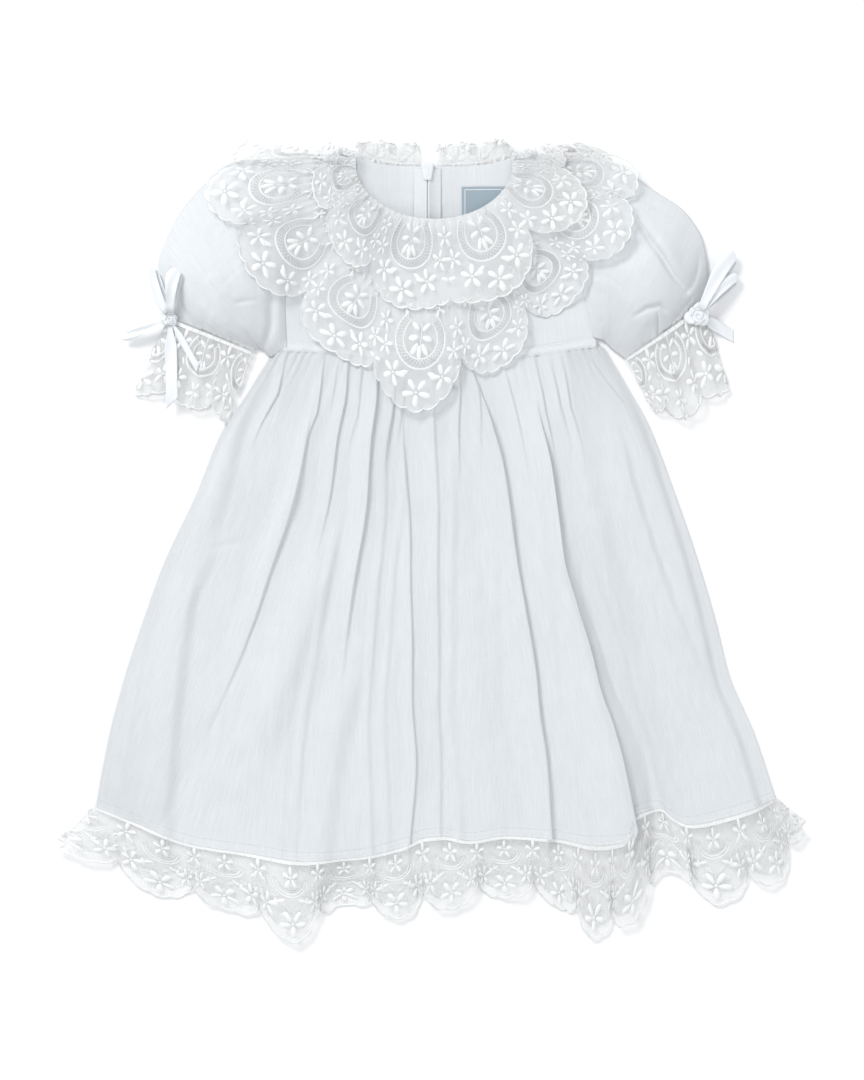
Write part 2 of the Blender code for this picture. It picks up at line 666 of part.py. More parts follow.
def sleeve_plan(rows, armhole, u, q):
    """Place on the page: u runs up the opening and q from armhole to cuff."""
    table = numbered(rows)
    at = q * (len(rows) - 1)
    x0, y0, x1, y1 = (through(table, at, k) for k in (1, 2, 3, 4))
    y = y0 + (y1 - y0) * u
    x = x0 + (x1 - x0) * u
    out = 1 if x0[0] > 0 else -1
    seam = through(armhole, y) + 0.5 * out
    return x + (seam - x) * (1 - ease(at, 0, 1)), y


def sleeve_top(rows, creases, armhole, u, q):
    """Height of the sleeve: puffed in the middle and gathered at both ends."""
    ring = np.full_like(u, q)
    x, y = sleeve_plan(rows, armhole, u, ring)
    puff = through(numbered(rows), ring * (len(rows) - 1), 5)
    round_over = np.sin(math.pi * np.clip(u, 0, 1))
    gather = 1.1 * np.cos(2 * math.pi * 8 * u) * (np.exp(-ring / 0.16) + np.exp(-(1 - ring) / 0.12))
    height = puff * round_over**0.75 + gather * round_over - crease_depth(creases, x, y) * round_over**0.5
    return 3.0 + np.maximum(height, 0)


def make_sleeves():
    """Puff sleeves, gathered at the armhole and at the cuff, and lying on their backs."""
    sides = (("left", LEFT_SLEEVE, LEFT_CREASES, LEFT_ARMHOLE), ("right", RIGHT_SLEEVE, RIGHT_CREASES, RIGHT_ARMHOLE))
    for side, rows, creases, armhole in sides:
        def plan(u, q):
            return sleeve_plan(rows, armhole, u, q)

        def top(u, q):
            return sleeve_top(rows, creases, armhole, u, q)

        flat_tube("sleeve_" + side, plan, top, 28, 5, 8, LINEN, "linen")


def frill_plan(rows, frill, u, q):
    """Place on the page of the cuff lace: u across the cuff and q from the cuff outwards."""
    x0, y0, x1, y1, puff = rows[-1]
    (xa, ya), (xb, yb), (xc, yc) = frill
    scalloped = q * (1 - 0.16 * (1 - np.abs(np.sin(math.pi * (3 * u + 0.5)))))
    far_x = xa * (1 - u) ** 2 + (2 * xb - (xa + xc) / 2) * 2 * u * (1 - u) + xc * u**2
    far_y = ya * (1 - u) ** 2 + (2 * yb - (ya + yc) / 2) * 2 * u * (1 - u) + yc * u**2
    out_x, out_y = y0 - y1, x1 - x0
    turn = -1 if out_y * (yb - y0) + out_x * (xb - x0) < 0 else 1
    near_x = x0 + (x1 - x0) * u + turn * out_x / math.hypot(out_x, out_y) * 0.6
    near_y = y0 + (y1 - y0) * u + turn * out_y / math.hypot(out_x, out_y) * 0.6
    return near_x + (far_x - near_x) * scalloped, near_y + (far_y - near_y) * scalloped


def make_cuff_lace():
    """Gathered lace round each cuff, open like the sleeve."""
    for side, rows, frill in (("left", LEFT_SLEEVE, LEFT_FRILL), ("right", RIGHT_SLEEVE, RIGHT_FRILL)):
        def plan(u, q):
            return frill_plan(rows, frill, u, q)

        def top(u, q):
            round_over = np.sin(math.pi * np.clip(u, 0, 1))
            waves = 1 - np.cos(2 * math.pi * CUFF_WAVES * u)
            return 2.8 + round_over**0.6 * (7 - 3 * q + 1.6 * waves * (0.4 + 0.6 * q))

        flat_tube("cuff_lace_" + side, plan, top, 4 * CUFF_WAVES, 8, 3, LACE, "lace")


def make_waistband():
    """The narrow band between bodice and skirt, all the way round."""
    def plan(u, q):
        x = -119 + 250.5 * u
        return x, waist_top(x, 0.8 + (WAISTBAND_HEIGHT - 0.8) * q)

    def top(u, q):
        return 2.9 + 1.6 * np.sin(math.pi * np.clip(u, 0, 1)) ** 0.5 + 0 * q

    flat_tube("waistband", plan, top, 16, 16, 1, LINEN, "linen")


def make_collar_front():
    """The two lace tiers of the collar, from shoulder to shoulder."""
    tiers = (
        ("collar_lower", LOWER_LOBES, None, 3.6),
        ("collar_upper", UPPER_LOBES, (NECK_HALF_WIDTH + 0.5, NECK_FRONT_DROP + 0.5), 3.2),
    )
    for name, lobes, seam, rise in tiers:
        count = len(lobes) - 1
        s, t = grid(8 * count, 3)
        s = s * count
        if seam is None:
            reach = through(numbered(lobes), s, 3)
            seam = (reach, reach)
        x, y = collar_tier(lobes, s, t, *seam)
        z = settle(x, y, 0.0) + ripple(s, t, 2.5, rise)
        lay_on_pile(sheet(name, stacked(x, y, z), LACE, "lace"))


def make_hem_lace():
    """A gathered lace flounce on each panel of the skirt."""
    lobes = len(HEM_LOBES) - 1
    c, v = grid(BACK_COLUMNS, 1)
    back_x, back_y = skirt_outline(c[:, 1], v[:, 1])
    s, t = grid(4 * lobes, 2)
    x, y = hem_lace(s * lobes, t, back_x, back_y, 9.0)
    lay_on_pile(sheet("hem_lace_back", stacked(x, y, 0.0), LACE, "lace"))
    c, v = grid(SKIRT_COLUMNS, 1)
    front_x, front_y, front_z = (part[:, 1] for part in skirt_front(c, v))
    s, t = grid(7 * lobes, 3)
    x, y = hem_lace(s * lobes, t, front_x, front_y, 0.0)
    seam = np.interp(x[:, :1], front_x, front_z)
    low = settle(x, y, 0.0)
    z = low + ripple(s * lobes, t, 1.6, 3.4) * ease(t, -0.3, 0.5)
    z = z + np.maximum(seam - low[:, :1], 0) * (1 - ease(t, 0, 0.9)) * 0.8
    lay_on_pile(sheet("hem_lace_front", stacked(x, y, z), LACE, "lace"))


def ribbon_place(rose, tip, out, across):
    """Place on the page along a ribbon that starts beside its rose, and across it."""
    run = math.hypot(tip[0] - rose[0], tip[1] - rose[1])
    ux, uy = (tip[0] - rose[0]) / run, (tip[1] - rose[1]) / run
    d = ROSE_EDGE + (run - ROSE_EDGE) * out
    return rose[0] + ux * d - uy * across, rose[1] + uy * d + ux * across


def make_ribbon_loop(name, rose, level, tip, width, height):
    """A loop of ribbon that leaves the rose and comes back above itself."""
    p, w = grid(10, 2)
    across = width * (w - 0.5) * (0.3 + 0.7 * np.sin(math.pi * p) ** 0.6)
    half = p.shape[0] // 2
    faces = []
    base = None
    for inset in (0, RIBBON):
        out = np.sin(math.pi * p) ** 0.7 * (1 - inset / 30)
        x, y = ribbon_place(rose, tip, out, across)
        if base is None:
            low = settle(x[: half + 1], y[: half + 1], level * (1 - 0.5 * out[: half + 1]), 0.4).max(axis=1)
            base = np.concatenate([low, low[-2::-1]])[:, None]
        rise = inset + (height - 2 * inset) * (0.5 - 0.5 * np.cos(math.pi * p))
        faces.append(stacked(x, y, rise + base))
    wall(name, faces[0], faces[1], "ribbon")


def make_ribbon_tail(name, rose, level, tip, width):
    """A ribbon's loose end, lying on what is below it, cut on the slant."""
    p, w = grid(7, 2)
    across = width * (w - 0.5) * (0.35 + 0.65 * ease(p, 0, 0.35))
    x, y = ribbon_place(rose, tip, p * (1 - 0.14 * w), across)
    low = settle(x, y, level * (1 - ease(p, 0, 0.3))).max(axis=1, keepdims=True)
    sheet(name, stacked(x, y, low), RIBBON, "ribbon")


def make_rosette(name, centre):
    """The small ribbon rose that hides the knot."""
    rings = ((7.0, 1.4, 0.0), (6.2, 3.0, 0.6), (4.6, 4.6, 0.5), (3.6, 3.8, 0.2), (2.4, 5.6, 0.3), (1.2, 5.0, 0.0))
    turn = np.linspace(0, 2 * math.pi, 16)[:-1]
    x = np.array([centre[0] + (r + p * np.cos(5 * turn)) * np.cos(turn) for r, h, p in rings])
    y = np.array([centre[1] + (r + p * np.cos(5 * turn)) * np.sin(turn) for r, h, p in rings])
    base = settle(x[:3], y[:3], 0.0).max()
    z = np.array([base + h + 0.4 * np.cos(5 * turn + r) for r, h, p in rings])
    count = len(turn)
    points = [(px, py, base) for px, py in zip(x[0], y[0])]
    points += list(zip(x.ravel(), y.ravel(), z.ravel()))
    faces = cells(len(rings) + 1, count, 0, True)
    last = len(rings) * count
    faces += [tuple(range(count)), tuple(last + k for k in range(count))]
    solid(name, points, faces, "ribbon")
    return base


def make_bows():
    """Ribbon bows at the outer side of each cuff."""
    for side, rose in ROSES:
        level = make_rosette("rosette_" + side, rose)
        for name, at, tip, width, height in LOOPS:
            if at == side:
                make_ribbon_loop(name, rose, level, tip, width, height)
        for name, at, tip, width in TAILS:
            if at == side:
                make_ribbon_tail(name, rose, level + 0.3, tip, width)


def main():
    for thing in list(bpy.data.objects):
        bpy.data.objects.remove(thing, do_unlink=True)
    rolled = make_collar_back()
    for half in make_bodice_backs():
        lay_on_pile(half)
    make_zip()
    make_zip_pull()
    make_label()
    for part in rolled:
        lay_on_pile(part)
    make_bodice_front()
    front = make_skirt()
    make_hem_lace()
    lay_on_pile(front)
    make_waistband()
    make_sleeves()
    make_cuff_lace()
    make_collar_front()
    make_bows()


main()
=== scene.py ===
# %% [markdown]
# # A small child's linen dress, laid flat on its back
#
# This lesson dresses a plain CAD model of a child's dress. The CAD part gives every
# panel's place and size; here each panel becomes thin cloth with real folds, lace
# with raised flowers, satin bows, and a small white zip.
#
# Lengths are millimetres in the tables and become metres where a mesh is made.
# X runs across the dress, +Y points from the hem to the neck and +Z up from the table.

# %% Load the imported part
import json
import math

import bpy
import numpy as np
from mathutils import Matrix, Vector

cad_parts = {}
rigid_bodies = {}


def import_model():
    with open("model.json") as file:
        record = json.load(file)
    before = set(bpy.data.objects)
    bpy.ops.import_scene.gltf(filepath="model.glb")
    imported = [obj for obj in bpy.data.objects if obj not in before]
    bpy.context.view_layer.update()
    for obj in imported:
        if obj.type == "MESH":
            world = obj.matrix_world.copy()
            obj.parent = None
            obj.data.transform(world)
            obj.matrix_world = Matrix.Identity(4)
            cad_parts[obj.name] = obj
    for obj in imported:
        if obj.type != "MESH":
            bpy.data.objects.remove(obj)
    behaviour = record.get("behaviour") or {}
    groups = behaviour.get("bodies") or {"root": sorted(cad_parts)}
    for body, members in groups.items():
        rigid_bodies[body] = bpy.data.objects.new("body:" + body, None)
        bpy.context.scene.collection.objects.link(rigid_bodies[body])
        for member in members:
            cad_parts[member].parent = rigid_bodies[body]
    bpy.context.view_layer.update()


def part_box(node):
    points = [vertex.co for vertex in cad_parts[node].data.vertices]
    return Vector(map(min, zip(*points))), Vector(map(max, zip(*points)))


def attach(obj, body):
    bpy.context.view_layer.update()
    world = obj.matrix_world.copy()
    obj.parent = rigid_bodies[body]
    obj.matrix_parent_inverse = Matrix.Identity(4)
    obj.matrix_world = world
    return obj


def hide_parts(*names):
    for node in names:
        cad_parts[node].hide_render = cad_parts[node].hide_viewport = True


for thing in list(bpy.data.objects):
    bpy.data.objects.remove(thing, do_unlink=True)
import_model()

# %% [markdown]
# ## Camera
#
# The picture was taken from straight above. A long lens far away keeps the outline
# true, so that a millimetre is the same size at the hem and at the neck. A flat
# projection would do that too, but a lens lets a viewer walk round the dress later.

# %% Camera looking straight down
CAMERA_HEIGHT = 3.0
camera = bpy.data.objects.new("camera", bpy.data.cameras.new("camera"))
bpy.context.scene.collection.objects.link(camera)
camera.location = (0.0, 0.0008, CAMERA_HEIGHT)
camera.data.lens = 125
camera.data.sensor_width = 36
bpy.context.scene.camera = camera
bpy.context.scene.view_settings.view_transform = "Standard"
pixel = camera.data.sensor_width / camera.data.lens * CAMERA_HEIGHT * 1000 / 1080
print("one pixel of an 864 by 1080 picture is", round(pixel, 3), "mm")

# %% [markdown]
# ## Table and light
#
# White cloth only shows its folds when the light comes from one side. A big soft lamp
# at the upper left draws the shadows. A wide one overhead, a faint one at the lower
# right and the pale surroundings fill them, so that no fold turns black.

# %% Soft lamps
def lamp(name, place, size, power):
    """A square lamp that faces the middle of the dress."""
    made = bpy.data.objects.new(name, bpy.data.lights.new(name, "AREA"))
    made.data.size = size
    made.data.energy = power
    made.location = place
    away = made.location.normalized()
    made.rotation_euler = away.to_track_quat("Z", "Y").to_euler()
    bpy.context.scene.collection.objects.link(made)
    return made


lamp("window", (-1.7, 2.1, 2.4), 1.2, 68)
lamp("ceiling", (0.2, -0.3, 3.4), 2.6, 14)
lamp("far_wall", (2.1, -1.5, 1.9), 2.4, 13)
world = bpy.data.worlds.new("pale_room")
bpy.context.scene.world = world
world.use_nodes = True
sky = world.node_tree.nodes["Background"]
sky.inputs["Color"].default_value = (0.96, 0.98, 1.0, 1)
sky.inputs["Strength"].default_value = 0.65

# %% [markdown]
# ## Curves through a few measured places
#
# Outlines and folds were measured at a few places. Straight lines between them would
# show corners, and many smooth curves swing past the places they join. A monotone
# curve never does, so a hem that is level between two places stays level.

# %% Curves and soft steps
MM = 0.001


def through(rows, at, column=1):
    """The value at a position on a smooth curve through a table's rows."""
    x = np.array([row[0] for row in rows], float)
    y = np.array([row[column] for row in rows], float)
    rise = np.diff(y) / np.diff(x)
    both = rise[:-1] * rise[1:]
    middle = np.where(both > 0, 2 * both / np.where(both > 0, rise[:-1] + rise[1:], 1), 0)
    slope = np.concatenate([rise[:1], middle, rise[-1:]])
    at = np.clip(np.asarray(at, float), x[0], x[-1])
    k = np.clip(np.searchsorted(x, at) - 1, 0, len(x) - 2)
    step = x[k + 1] - x[k]
    t = (at - x[k]) / step
    start = (2 * t**3 - 3 * t**2 + 1) * y[k] + (t**3 - 2 * t**2 + t) * step * slope[k]
    end = (3 * t**2 - 2 * t**3) * y[k + 1] + (t**3 - t**2) * step * slope[k + 1]
    return start + end


def ease(value, low, high):
    """0 up to low, 1 from high on, and a smooth rise between them."""
    t = np.clip((np.asarray(value, float) - low) / (high - low), 0, 1)
    return t * t * (3 - 2 * t)


def numbered(rows):
    """A table with each row's number put in front."""
    return tuple((number, *row) for number, row in enumerate(rows))


def net_of(first, last, columns, rows):
    """Two grids: one value that runs along the columns and a share down the rows."""
    return np.meshgrid(np.linspace(first, last, columns + 1), np.linspace(0, 1, rows + 1), indexing="ij")


print("a soft step from 0 to 1 passes", float(ease(0.5, 0, 1)), "in its middle")

# %% [markdown]
# ## Rumples
#
# Washed linen is never smooth between its folds. Sculpting would take hours, and a
# noise texture gives no real shape. A few dozen long, faint waves in chance directions
# look like the soft unevenness left after folding, and cost one line of code each.

# %% Soft unevenness from many faint waves
WAVES = 26
WAVES_TOGETHER = 5.0


def rumple(x, y, depth, shortest, longest, seed, lengthwise=2.5):
    """Height of faint waves; they run longer along the dress than across it."""
    chance = np.random.default_rng(seed)
    height = np.zeros(np.shape(x))
    for _ in range(WAVES):
        size = chance.uniform(shortest, longest)
        turn = chance.uniform(0, 2 * math.pi)
        phase = chance.uniform(0, 2 * math.pi)
        along = x * math.cos(turn) + y * math.sin(turn) / lengthwise
        height = height + size / longest * np.sin(2 * math.pi * along / size + phase)
    return depth * height / WAVES_TOGETHER


spots = rumple(np.linspace(0, 500, 200), np.zeros(200), 1.0, 20, 60, 1)
print("a rumple of depth 1 reaches from", round(spots.min(), 2), "to", round(spots.max(), 2), "mm")

# %% [markdown]
# ## From a grid of points to a cloth mesh
#
# Every panel is a grid of points. A panel could also be a plane that modifiers bend,
# but points that come from a formula are exact and quick. The flat cut is kept as a UV
# map in real size, so a weave has the same thread size on every panel.

# %% Cloth from a grid
def grid_faces(rows, columns, closed=False):
    """Four-sided faces of a grid of points, numbered row by row."""
    i, j = np.meshgrid(np.arange(rows - 1), np.arange(columns if closed else columns - 1), indexing="ij")
    k = (j + 1) % columns
    corners = (i * columns + j, (i + 1) * columns + j, (i + 1) * columns + k, i * columns + k)
    return np.stack(corners, axis=-1).reshape(-1, 4)


def make_mesh(name, points, faces, flat, finish):
    """A smooth mesh object from points and a flat layout in millimetres."""
    mesh = bpy.data.meshes.new(name)
    places = (np.asarray(points).reshape(-1, 3) * MM).tolist()
    mesh.from_pydata(places, [], [[int(k) for k in face] for face in faces])
    mesh.shade_smooth()
    corner = np.zeros(len(mesh.loops), int)
    mesh.loops.foreach_get("vertex_index", corner)
    layout = mesh.uv_layers.new(name="flat")
    layout.uv.foreach_set("vector", (np.asarray(flat).reshape(-1, 2)[corner] * MM).ravel())
    mesh.materials.append(finish)
    made = bpy.data.objects.new(name, mesh)
    bpy.context.scene.collection.objects.link(made)
    return made


def make_cloth(name, grid, finish, closed=False, thick=0.0, flat=None):
    """Cloth from a grid of points; thick gives it a second side and edges."""
    rows, columns = grid.shape[:2]
    faces = grid_faces(rows, columns, closed)
    middle = faces[len(faces) // 2]
    p = grid.reshape(-1, 3)
    up = np.cross(p[middle[1]] - p[middle[0]], p[middle[3]] - p[middle[0]])[2]
    if up < 0:
        faces = faces[:, ::-1]
    if flat is None:
        along = np.linalg.norm(np.diff(grid, axis=0), axis=2).mean(axis=1)
        across = np.linalg.norm(np.diff(grid, axis=1), axis=2).mean(axis=0)
        a = np.concatenate([[0], np.cumsum(along)])
        b = np.concatenate([[0], np.cumsum(across)])
        flat = np.stack(np.meshgrid(a, b, indexing="ij"), axis=-1)
    made = make_mesh(name, grid, faces, flat, finish)
    if thick:
        wall = made.modifiers.new("thickness", "SOLIDIFY")
        wall.thickness = thick * MM
        wall.offset = -1
    return made


def settle_in(piece, slot, *nodes, body="dress"):
    """The piece moves with its body and stands for CAD nodes; slot is not used."""
    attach(piece, body)
    if nodes:
        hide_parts(*nodes)
    print(piece.name, "has", len(piece.data.polygons), "faces")
    return piece


# %% [markdown]
# ## What lies under a layer
#
# A dress on a table is a pile of layers. A cloth simulation could let each layer fall,
# but it moves the folds away from where they belong. A height map remembers how high
# the pile is at each place, so that lace laid last follows the cloth already there.

# %% Height map of the pile
CELL = 2.0
HALF = 350.0
CELLS = int(2 * HALF / CELL)
laid = np.zeros((CELLS, CELLS))


def denser(grid, axis):
    """The grid with a point added halfway along every step."""
    count = grid.shape[axis]
    near = np.take(grid, range(count - 1), axis)
    far = np.take(grid, range(1, count), axis)
    shape = list(near.shape)
    shape[axis] *= 2
    both = np.stack([near, (near + far) / 2], axis=axis + 1).reshape(shape)
    return np.concatenate([both, np.take(grid, [count - 1], axis)], axis)


def lay(grid):
    """Records a layer on the pile."""
    for axis in (0, 1):
        while np.abs(np.diff(grid[..., :2], axis=axis)).max() > 0.7 * CELL:
            grid = denser(grid, axis)
    place = np.clip(((grid[..., :2] + HALF) / CELL).round().astype(int), 0, CELLS - 1)
    np.maximum.at(laid, (place[..., 0], place[..., 1]), grid[..., 2])


def softened(reach):
    """The pile's top as stiff cloth feels it: narrow dips are bridged."""
    high = laid.copy()
    for _ in range(reach):
        for axis in (0, 1):
            high = np.maximum(high, np.maximum(np.roll(high, 1, axis), np.roll(high, -1, axis)))
    for _ in range(3 * reach):
        for axis in (0, 1):
            high = (np.roll(high, 1, axis) + 2 * high + np.roll(high, -1, axis)) / 4
    return np.maximum(high, laid)


def height_at(heights, x, y):
    """The height map's value at any place, blended between cells."""
    a = np.clip((np.asarray(x) + HALF) / CELL, 0, CELLS - 1.001)
    b = np.clip((np.asarray(y) + HALF) / CELL, 0, CELLS - 1.001)
    i, j = a.astype(int), b.astype(int)
    a, b = a - i, b - j
    low = heights[i, j] * (1 - a) + heights[i + 1, j] * a
    high = heights[i, j + 1] * (1 - a) + heights[i + 1, j + 1] * a
    return low * (1 - b) + high * b


print("height map of", CELLS, "by", CELLS, "cells, each", CELL, "mm wide")

# %% [markdown]
# ## Finishes
#
# Every finish is made of nodes, so no picture is needed and nothing repeats. These
# helpers keep each finish short: one adds a node, one lays out the threads in real
# millimetres, one blends two colours, and one turns a height into small bumps.

# %% Helpers for finishes
def finish_named(name, colour, roughness, settings=()):
    """A new material with plain values on its shader, and the shader."""
    made = bpy.data.materials.new(name)
    made.use_nodes = True
    shader = made.node_tree.nodes["Principled BSDF"]
    shader.inputs["Base Color"].default_value = (*colour, 1)
    shader.inputs["Roughness"].default_value = roughness
    for socket, value in settings:
        shader.inputs[socket].default_value = value
    return made, shader


def node(made, kind, values=(), **settings):
    """Adds a node; each value is a socket with a number or another node's output."""
    new = made.node_tree.nodes.new("ShaderNode" + kind)
    for key, value in settings.items():
        setattr(new, key, value)
    for socket, value in values:
        if isinstance(value, bpy.types.NodeSocket):
            made.node_tree.links.new(value, new.inputs[socket])
        else:
            new.inputs[socket].default_value = value
    return new


def flat_place(made, across, along):
    """The flat layout, counted in steps of that many millimetres across and along."""
    layout = node(made, "UVMap", uv_map="flat")
    scale = (1 / (across * MM), 1 / (along * MM), 1)
    return node(made, "Mapping", [("Vector", layout.outputs["UV"]), ("Scale", scale)]).outputs["Vector"]


def blended(made, factor, low, high):
    """A colour between two, by a factor."""
    ramp = node(made, "ValToRGB", [("Fac", factor)])
    ramp.color_ramp.elements[0].color = (*low, 1)
    ramp.color_ramp.elements[1].color = (*high, 1)
    return ramp.outputs["Color"]


def arithmetic(made, operation, first, second):
    """Two values joined by a sum or a product."""
    return node(made, "Math", [(0, first), (1, second)], operation=operation).outputs[0]


def raised(made, shader, height, depth, strength=1.0):
    """Connects a height to the shader's normal; depth is in millimetres."""
    bump = node(made, "Bump", [("Height", height), ("Distance", depth * MM), ("Strength", strength)])
    made.node_tree.links.new(bump.outputs["Normal"], shader.inputs["Normal"])


# %% [markdown]
# Linen is a plain weave of uneven yarn: thick places in the yarn show as fine
# streaks. Its colour hardly changes, so most of the work is done by a small bump.
# A wave node repeats after 0.314 of its own units, so that number divided by the
# pitch of the threads is its scale.

# %% White linen with uneven yarn
BAND = 0.314
THREAD_PITCH = 0.62


def make_linen():
    """Plain-woven white linen."""
    made, shader = finish_named("white_linen", (0.80, 0.82, 0.84), 0.85, [
        ("Sheen Weight", 0.5), ("Sheen Roughness", 0.4), ("Specular IOR Level", 0.25),
    ])
    warp = node(made, "TexNoise", [("Vector", flat_place(made, 0.9, 26)), ("Scale", 1.0), ("Detail", 3)])
    weft = node(made, "TexNoise", [("Vector", flat_place(made, 18, 0.8)), ("Scale", 1.0), ("Detail", 2)])
    cloud = node(made, "TexNoise", [("Vector", flat_place(made, 60, 90)), ("Scale", 1.0), ("Detail", 2)])
    streaks = arithmetic(made, "MULTIPLY", warp.outputs["Fac"], 0.7)
    streaks = arithmetic(made, "ADD", streaks, arithmetic(made, "MULTIPLY", weft.outputs["Fac"], 0.15))
    tone = arithmetic(made, "ADD", streaks, arithmetic(made, "MULTIPLY", cloud.outputs["Fac"], 0.15))
    colour = blended(made, tone, (0.65, 0.675, 0.695), (0.835, 0.857, 0.875))
    made.node_tree.links.new(colour, shader.inputs["Base Color"])
    threads = []
    for direction in ("X", "Y"):
        place = flat_place(made, 1, 1)
        values = [("Vector", place), ("Scale", BAND / THREAD_PITCH), ("Distortion", 0.6)]
        wave = node(made, "TexWave", values, bands_direction=direction)
        threads.append(wave.outputs["Fac"])
    weave = arithmetic(made, "MULTIPLY", arithmetic(made, "ADD", *threads), 0.5)
    raised(made, shader, arithmetic(made, "ADD", weave, arithmetic(made, "MULTIPLY", streaks, 2.2)), 0.14)
    return made


linen = make_linen()
print("linen is made of", len(linen.node_tree.nodes), "nodes")

# %% [markdown]
# Net is mostly holes. Modelling each hole would take millions of faces, so its threads
# are drawn as the borders between cells, and the holes get a low alpha. The
# embroidery on it stands up and casts shadows, so it is real geometry, made later.

# %% Net, embroidery thread and sewing thread
STITCH_PITCH = 0.42


def make_net():
    """Fine net whose holes let the cloth below show."""
    made, shader = finish_named("lace_net", (0.965, 0.975, 0.975), 0.7, [("Sheen Weight", 0.2)])
    values = [("Vector", flat_place(made, 1.3, 1.3)), ("Scale", 1.0), ("Randomness", 0.35)]
    mesh = node(made, "TexVoronoi", values, feature="DISTANCE_TO_EDGE")
    threads = node(made, "MapRange", [
        ("Value", mesh.outputs["Distance"]), ("From Min", 0.08), ("From Max", 0.2),
        ("To Min", 0.72), ("To Max", 0.07),
    ])
    made.node_tree.links.new(threads.outputs["Result"], shader.inputs["Alpha"])
    raised(made, shader, threads.outputs["Result"], 0.08)
    return made


def make_thread(name, low, high, roughness):
    """Shiny cotton laid side by side, as in satin stitch."""
    made, shader = finish_named(name, high, roughness, [("Sheen Weight", 0.3), ("Specular IOR Level", 0.45)])
    strands = node(made, "TexWave", [
        ("Vector", flat_place(made, 1, 1)), ("Scale", BAND / STITCH_PITCH),
        ("Distortion", 2.5), ("Detail", 1),
    ], bands_direction="DIAGONAL")
    colour = blended(made, strands.outputs["Fac"], low, high)
    made.node_tree.links.new(colour, shader.inputs["Base Color"])
    raised(made, shader, strands.outputs["Fac"], 0.12)
    return made


net = make_net()
embroidery = make_thread("embroidery_thread", (0.90, 0.91, 0.91), (0.98, 0.985, 0.985), 0.45)
sewing = make_thread("sewing_thread", (0.74, 0.77, 0.79), (0.90, 0.92, 0.93), 0.6)
print("threads:", embroidery.name, "and", sewing.name)

# %% [markdown]
# Satin ribbon shines along its length. Zip tape is a dense ribbed tape, its slider
# is metal under white paint, and the woven label is a quiet blue-grey. All four are
# fine ribs of different size and gloss, so one function makes them.

# %% Ribbon, zip tape, painted metal and label
def make_ribbed(name, low, high, roughness, across, along, settings, depth):
    """Woven narrow goods: fine ribs of a given size."""
    made, shader = finish_named(name, high, roughness, settings)
    values = [("Vector", flat_place(made, across, along)), ("Scale", 1.0), ("Detail", 2)]
    ribs = node(made, "TexNoise", values)
    colour = blended(made, ribs.outputs["Fac"], low, high)
    made.node_tree.links.new(colour, shader.inputs["Base Color"])
    raised(made, shader, ribs.outputs["Fac"], depth)
    return made


satin = make_ribbed("satin_ribbon", (0.74, 0.77, 0.80), (0.92, 0.94, 0.96), 0.32, 9, 0.35,
                    [("Sheen Weight", 0.3), ("Specular IOR Level", 0.6), ("Anisotropic", 0.5)], 0.08)
tape = make_ribbed("zip_tape_weave", (0.66, 0.685, 0.705), (0.79, 0.81, 0.83), 0.7, 0.6, 3.0,
                   [("Sheen Weight", 0.15)], 0.12)
enamel = make_ribbed("white_enamel", (0.71, 0.735, 0.75), (0.82, 0.845, 0.86), 0.3, 4, 4,
                     [("Coat Weight", 0.4), ("Coat Roughness", 0.15)], 0.02)
label_weave = make_ribbed("label_weave", (0.27, 0.34, 0.395), (0.36, 0.435, 0.49), 0.75, 0.4, 0.9,
                          [("Sheen Weight", 0.2)], 0.1)
print("ribbed finishes:", [made.name for made in (satin, tape, enamel, label_weave)])

# %% [markdown]
# ## Table
#
# The dress lies on white board. One big flat face is enough, with a faint grain so
# that it isn't a dead white. It is stage, so it is no part of the dress.

# %% Pale table top
TABLE_HALF = 3000
TABLE_LEVEL = -0.3


def make_table():
    """A wide sheet of pale board under the dress."""
    made, shader = finish_named("pale_board", (0.97, 0.97, 0.97), 0.9)
    grain = node(made, "TexNoise", [("Vector", flat_place(made, 12, 12)), ("Scale", 1.0)])
    colour = blended(made, grain.outputs["Fac"], (0.955, 0.96, 0.965), (0.975, 0.975, 0.975))
    made.node_tree.links.new(colour, shader.inputs["Base Color"])
    corners = [(x * TABLE_HALF, y * TABLE_HALF, TABLE_LEVEL) for x, y in ((-1, -1), (1, -1), (1, 1), (-1, 1))]
    board = make_mesh("table_top", corners, [(0, 1, 2, 3)], np.array(corners)[:, :2], made)


make_table()
print("the table is", 2 * TABLE_HALF * MM, "m wide")

# %% [markdown]
# ## The dress's outline
#
# A dressmaker's pattern is an outline with a few marked places. These tables repeat
# the CAD part's own values: side seams, waist seam and hem. Skirt places are shares
# of its width and drop, so that a fold keeps its place when the outline changes.

# %% Outline tables
NECK_CENTRE = (1.6, 300.0)
NECK_HALF_WIDTH = 62.0
NECK_FRONT_DROP = 43.0
SHOULDER_TOP = 311.0
CENTRE_BACK = -3.6

# share of the drop, then X of the left and of the right side seam
SKIRT_SIDES = (
    (0.00, -130, 138), (0.08, -148, 155), (0.17, -169, 173), (0.30, -188, 191), (0.46, -215, 211),
    (0.60, -233, 226), (0.72, -247, 237), (0.85, -259, 257), (1.00, -269, 275),
)
# share of the width, then Y of the seam
WAIST_LINE = (
    (0, 146), (0.05, 153), (0.22, 150.5), (0.37, 146.5), (0.66, 146.5), (0.83, 151), (0.97, 156), (1, 154),
)
HEM_LINE = (
    (0.00, -214), (0.065, -228), (0.14, -244), (0.225, -251), (0.31, -257), (0.38, -255),
    (0.45, -246), (0.485, -238), (0.51, -237), (0.55, -241), (0.60, -237), (0.67, -239),
    (0.74, -244), (0.776, -241), (0.792, -220), (0.83, -215), (0.845, -222), (0.87, -228),
    (0.93, -221), (1.0, -208),
)
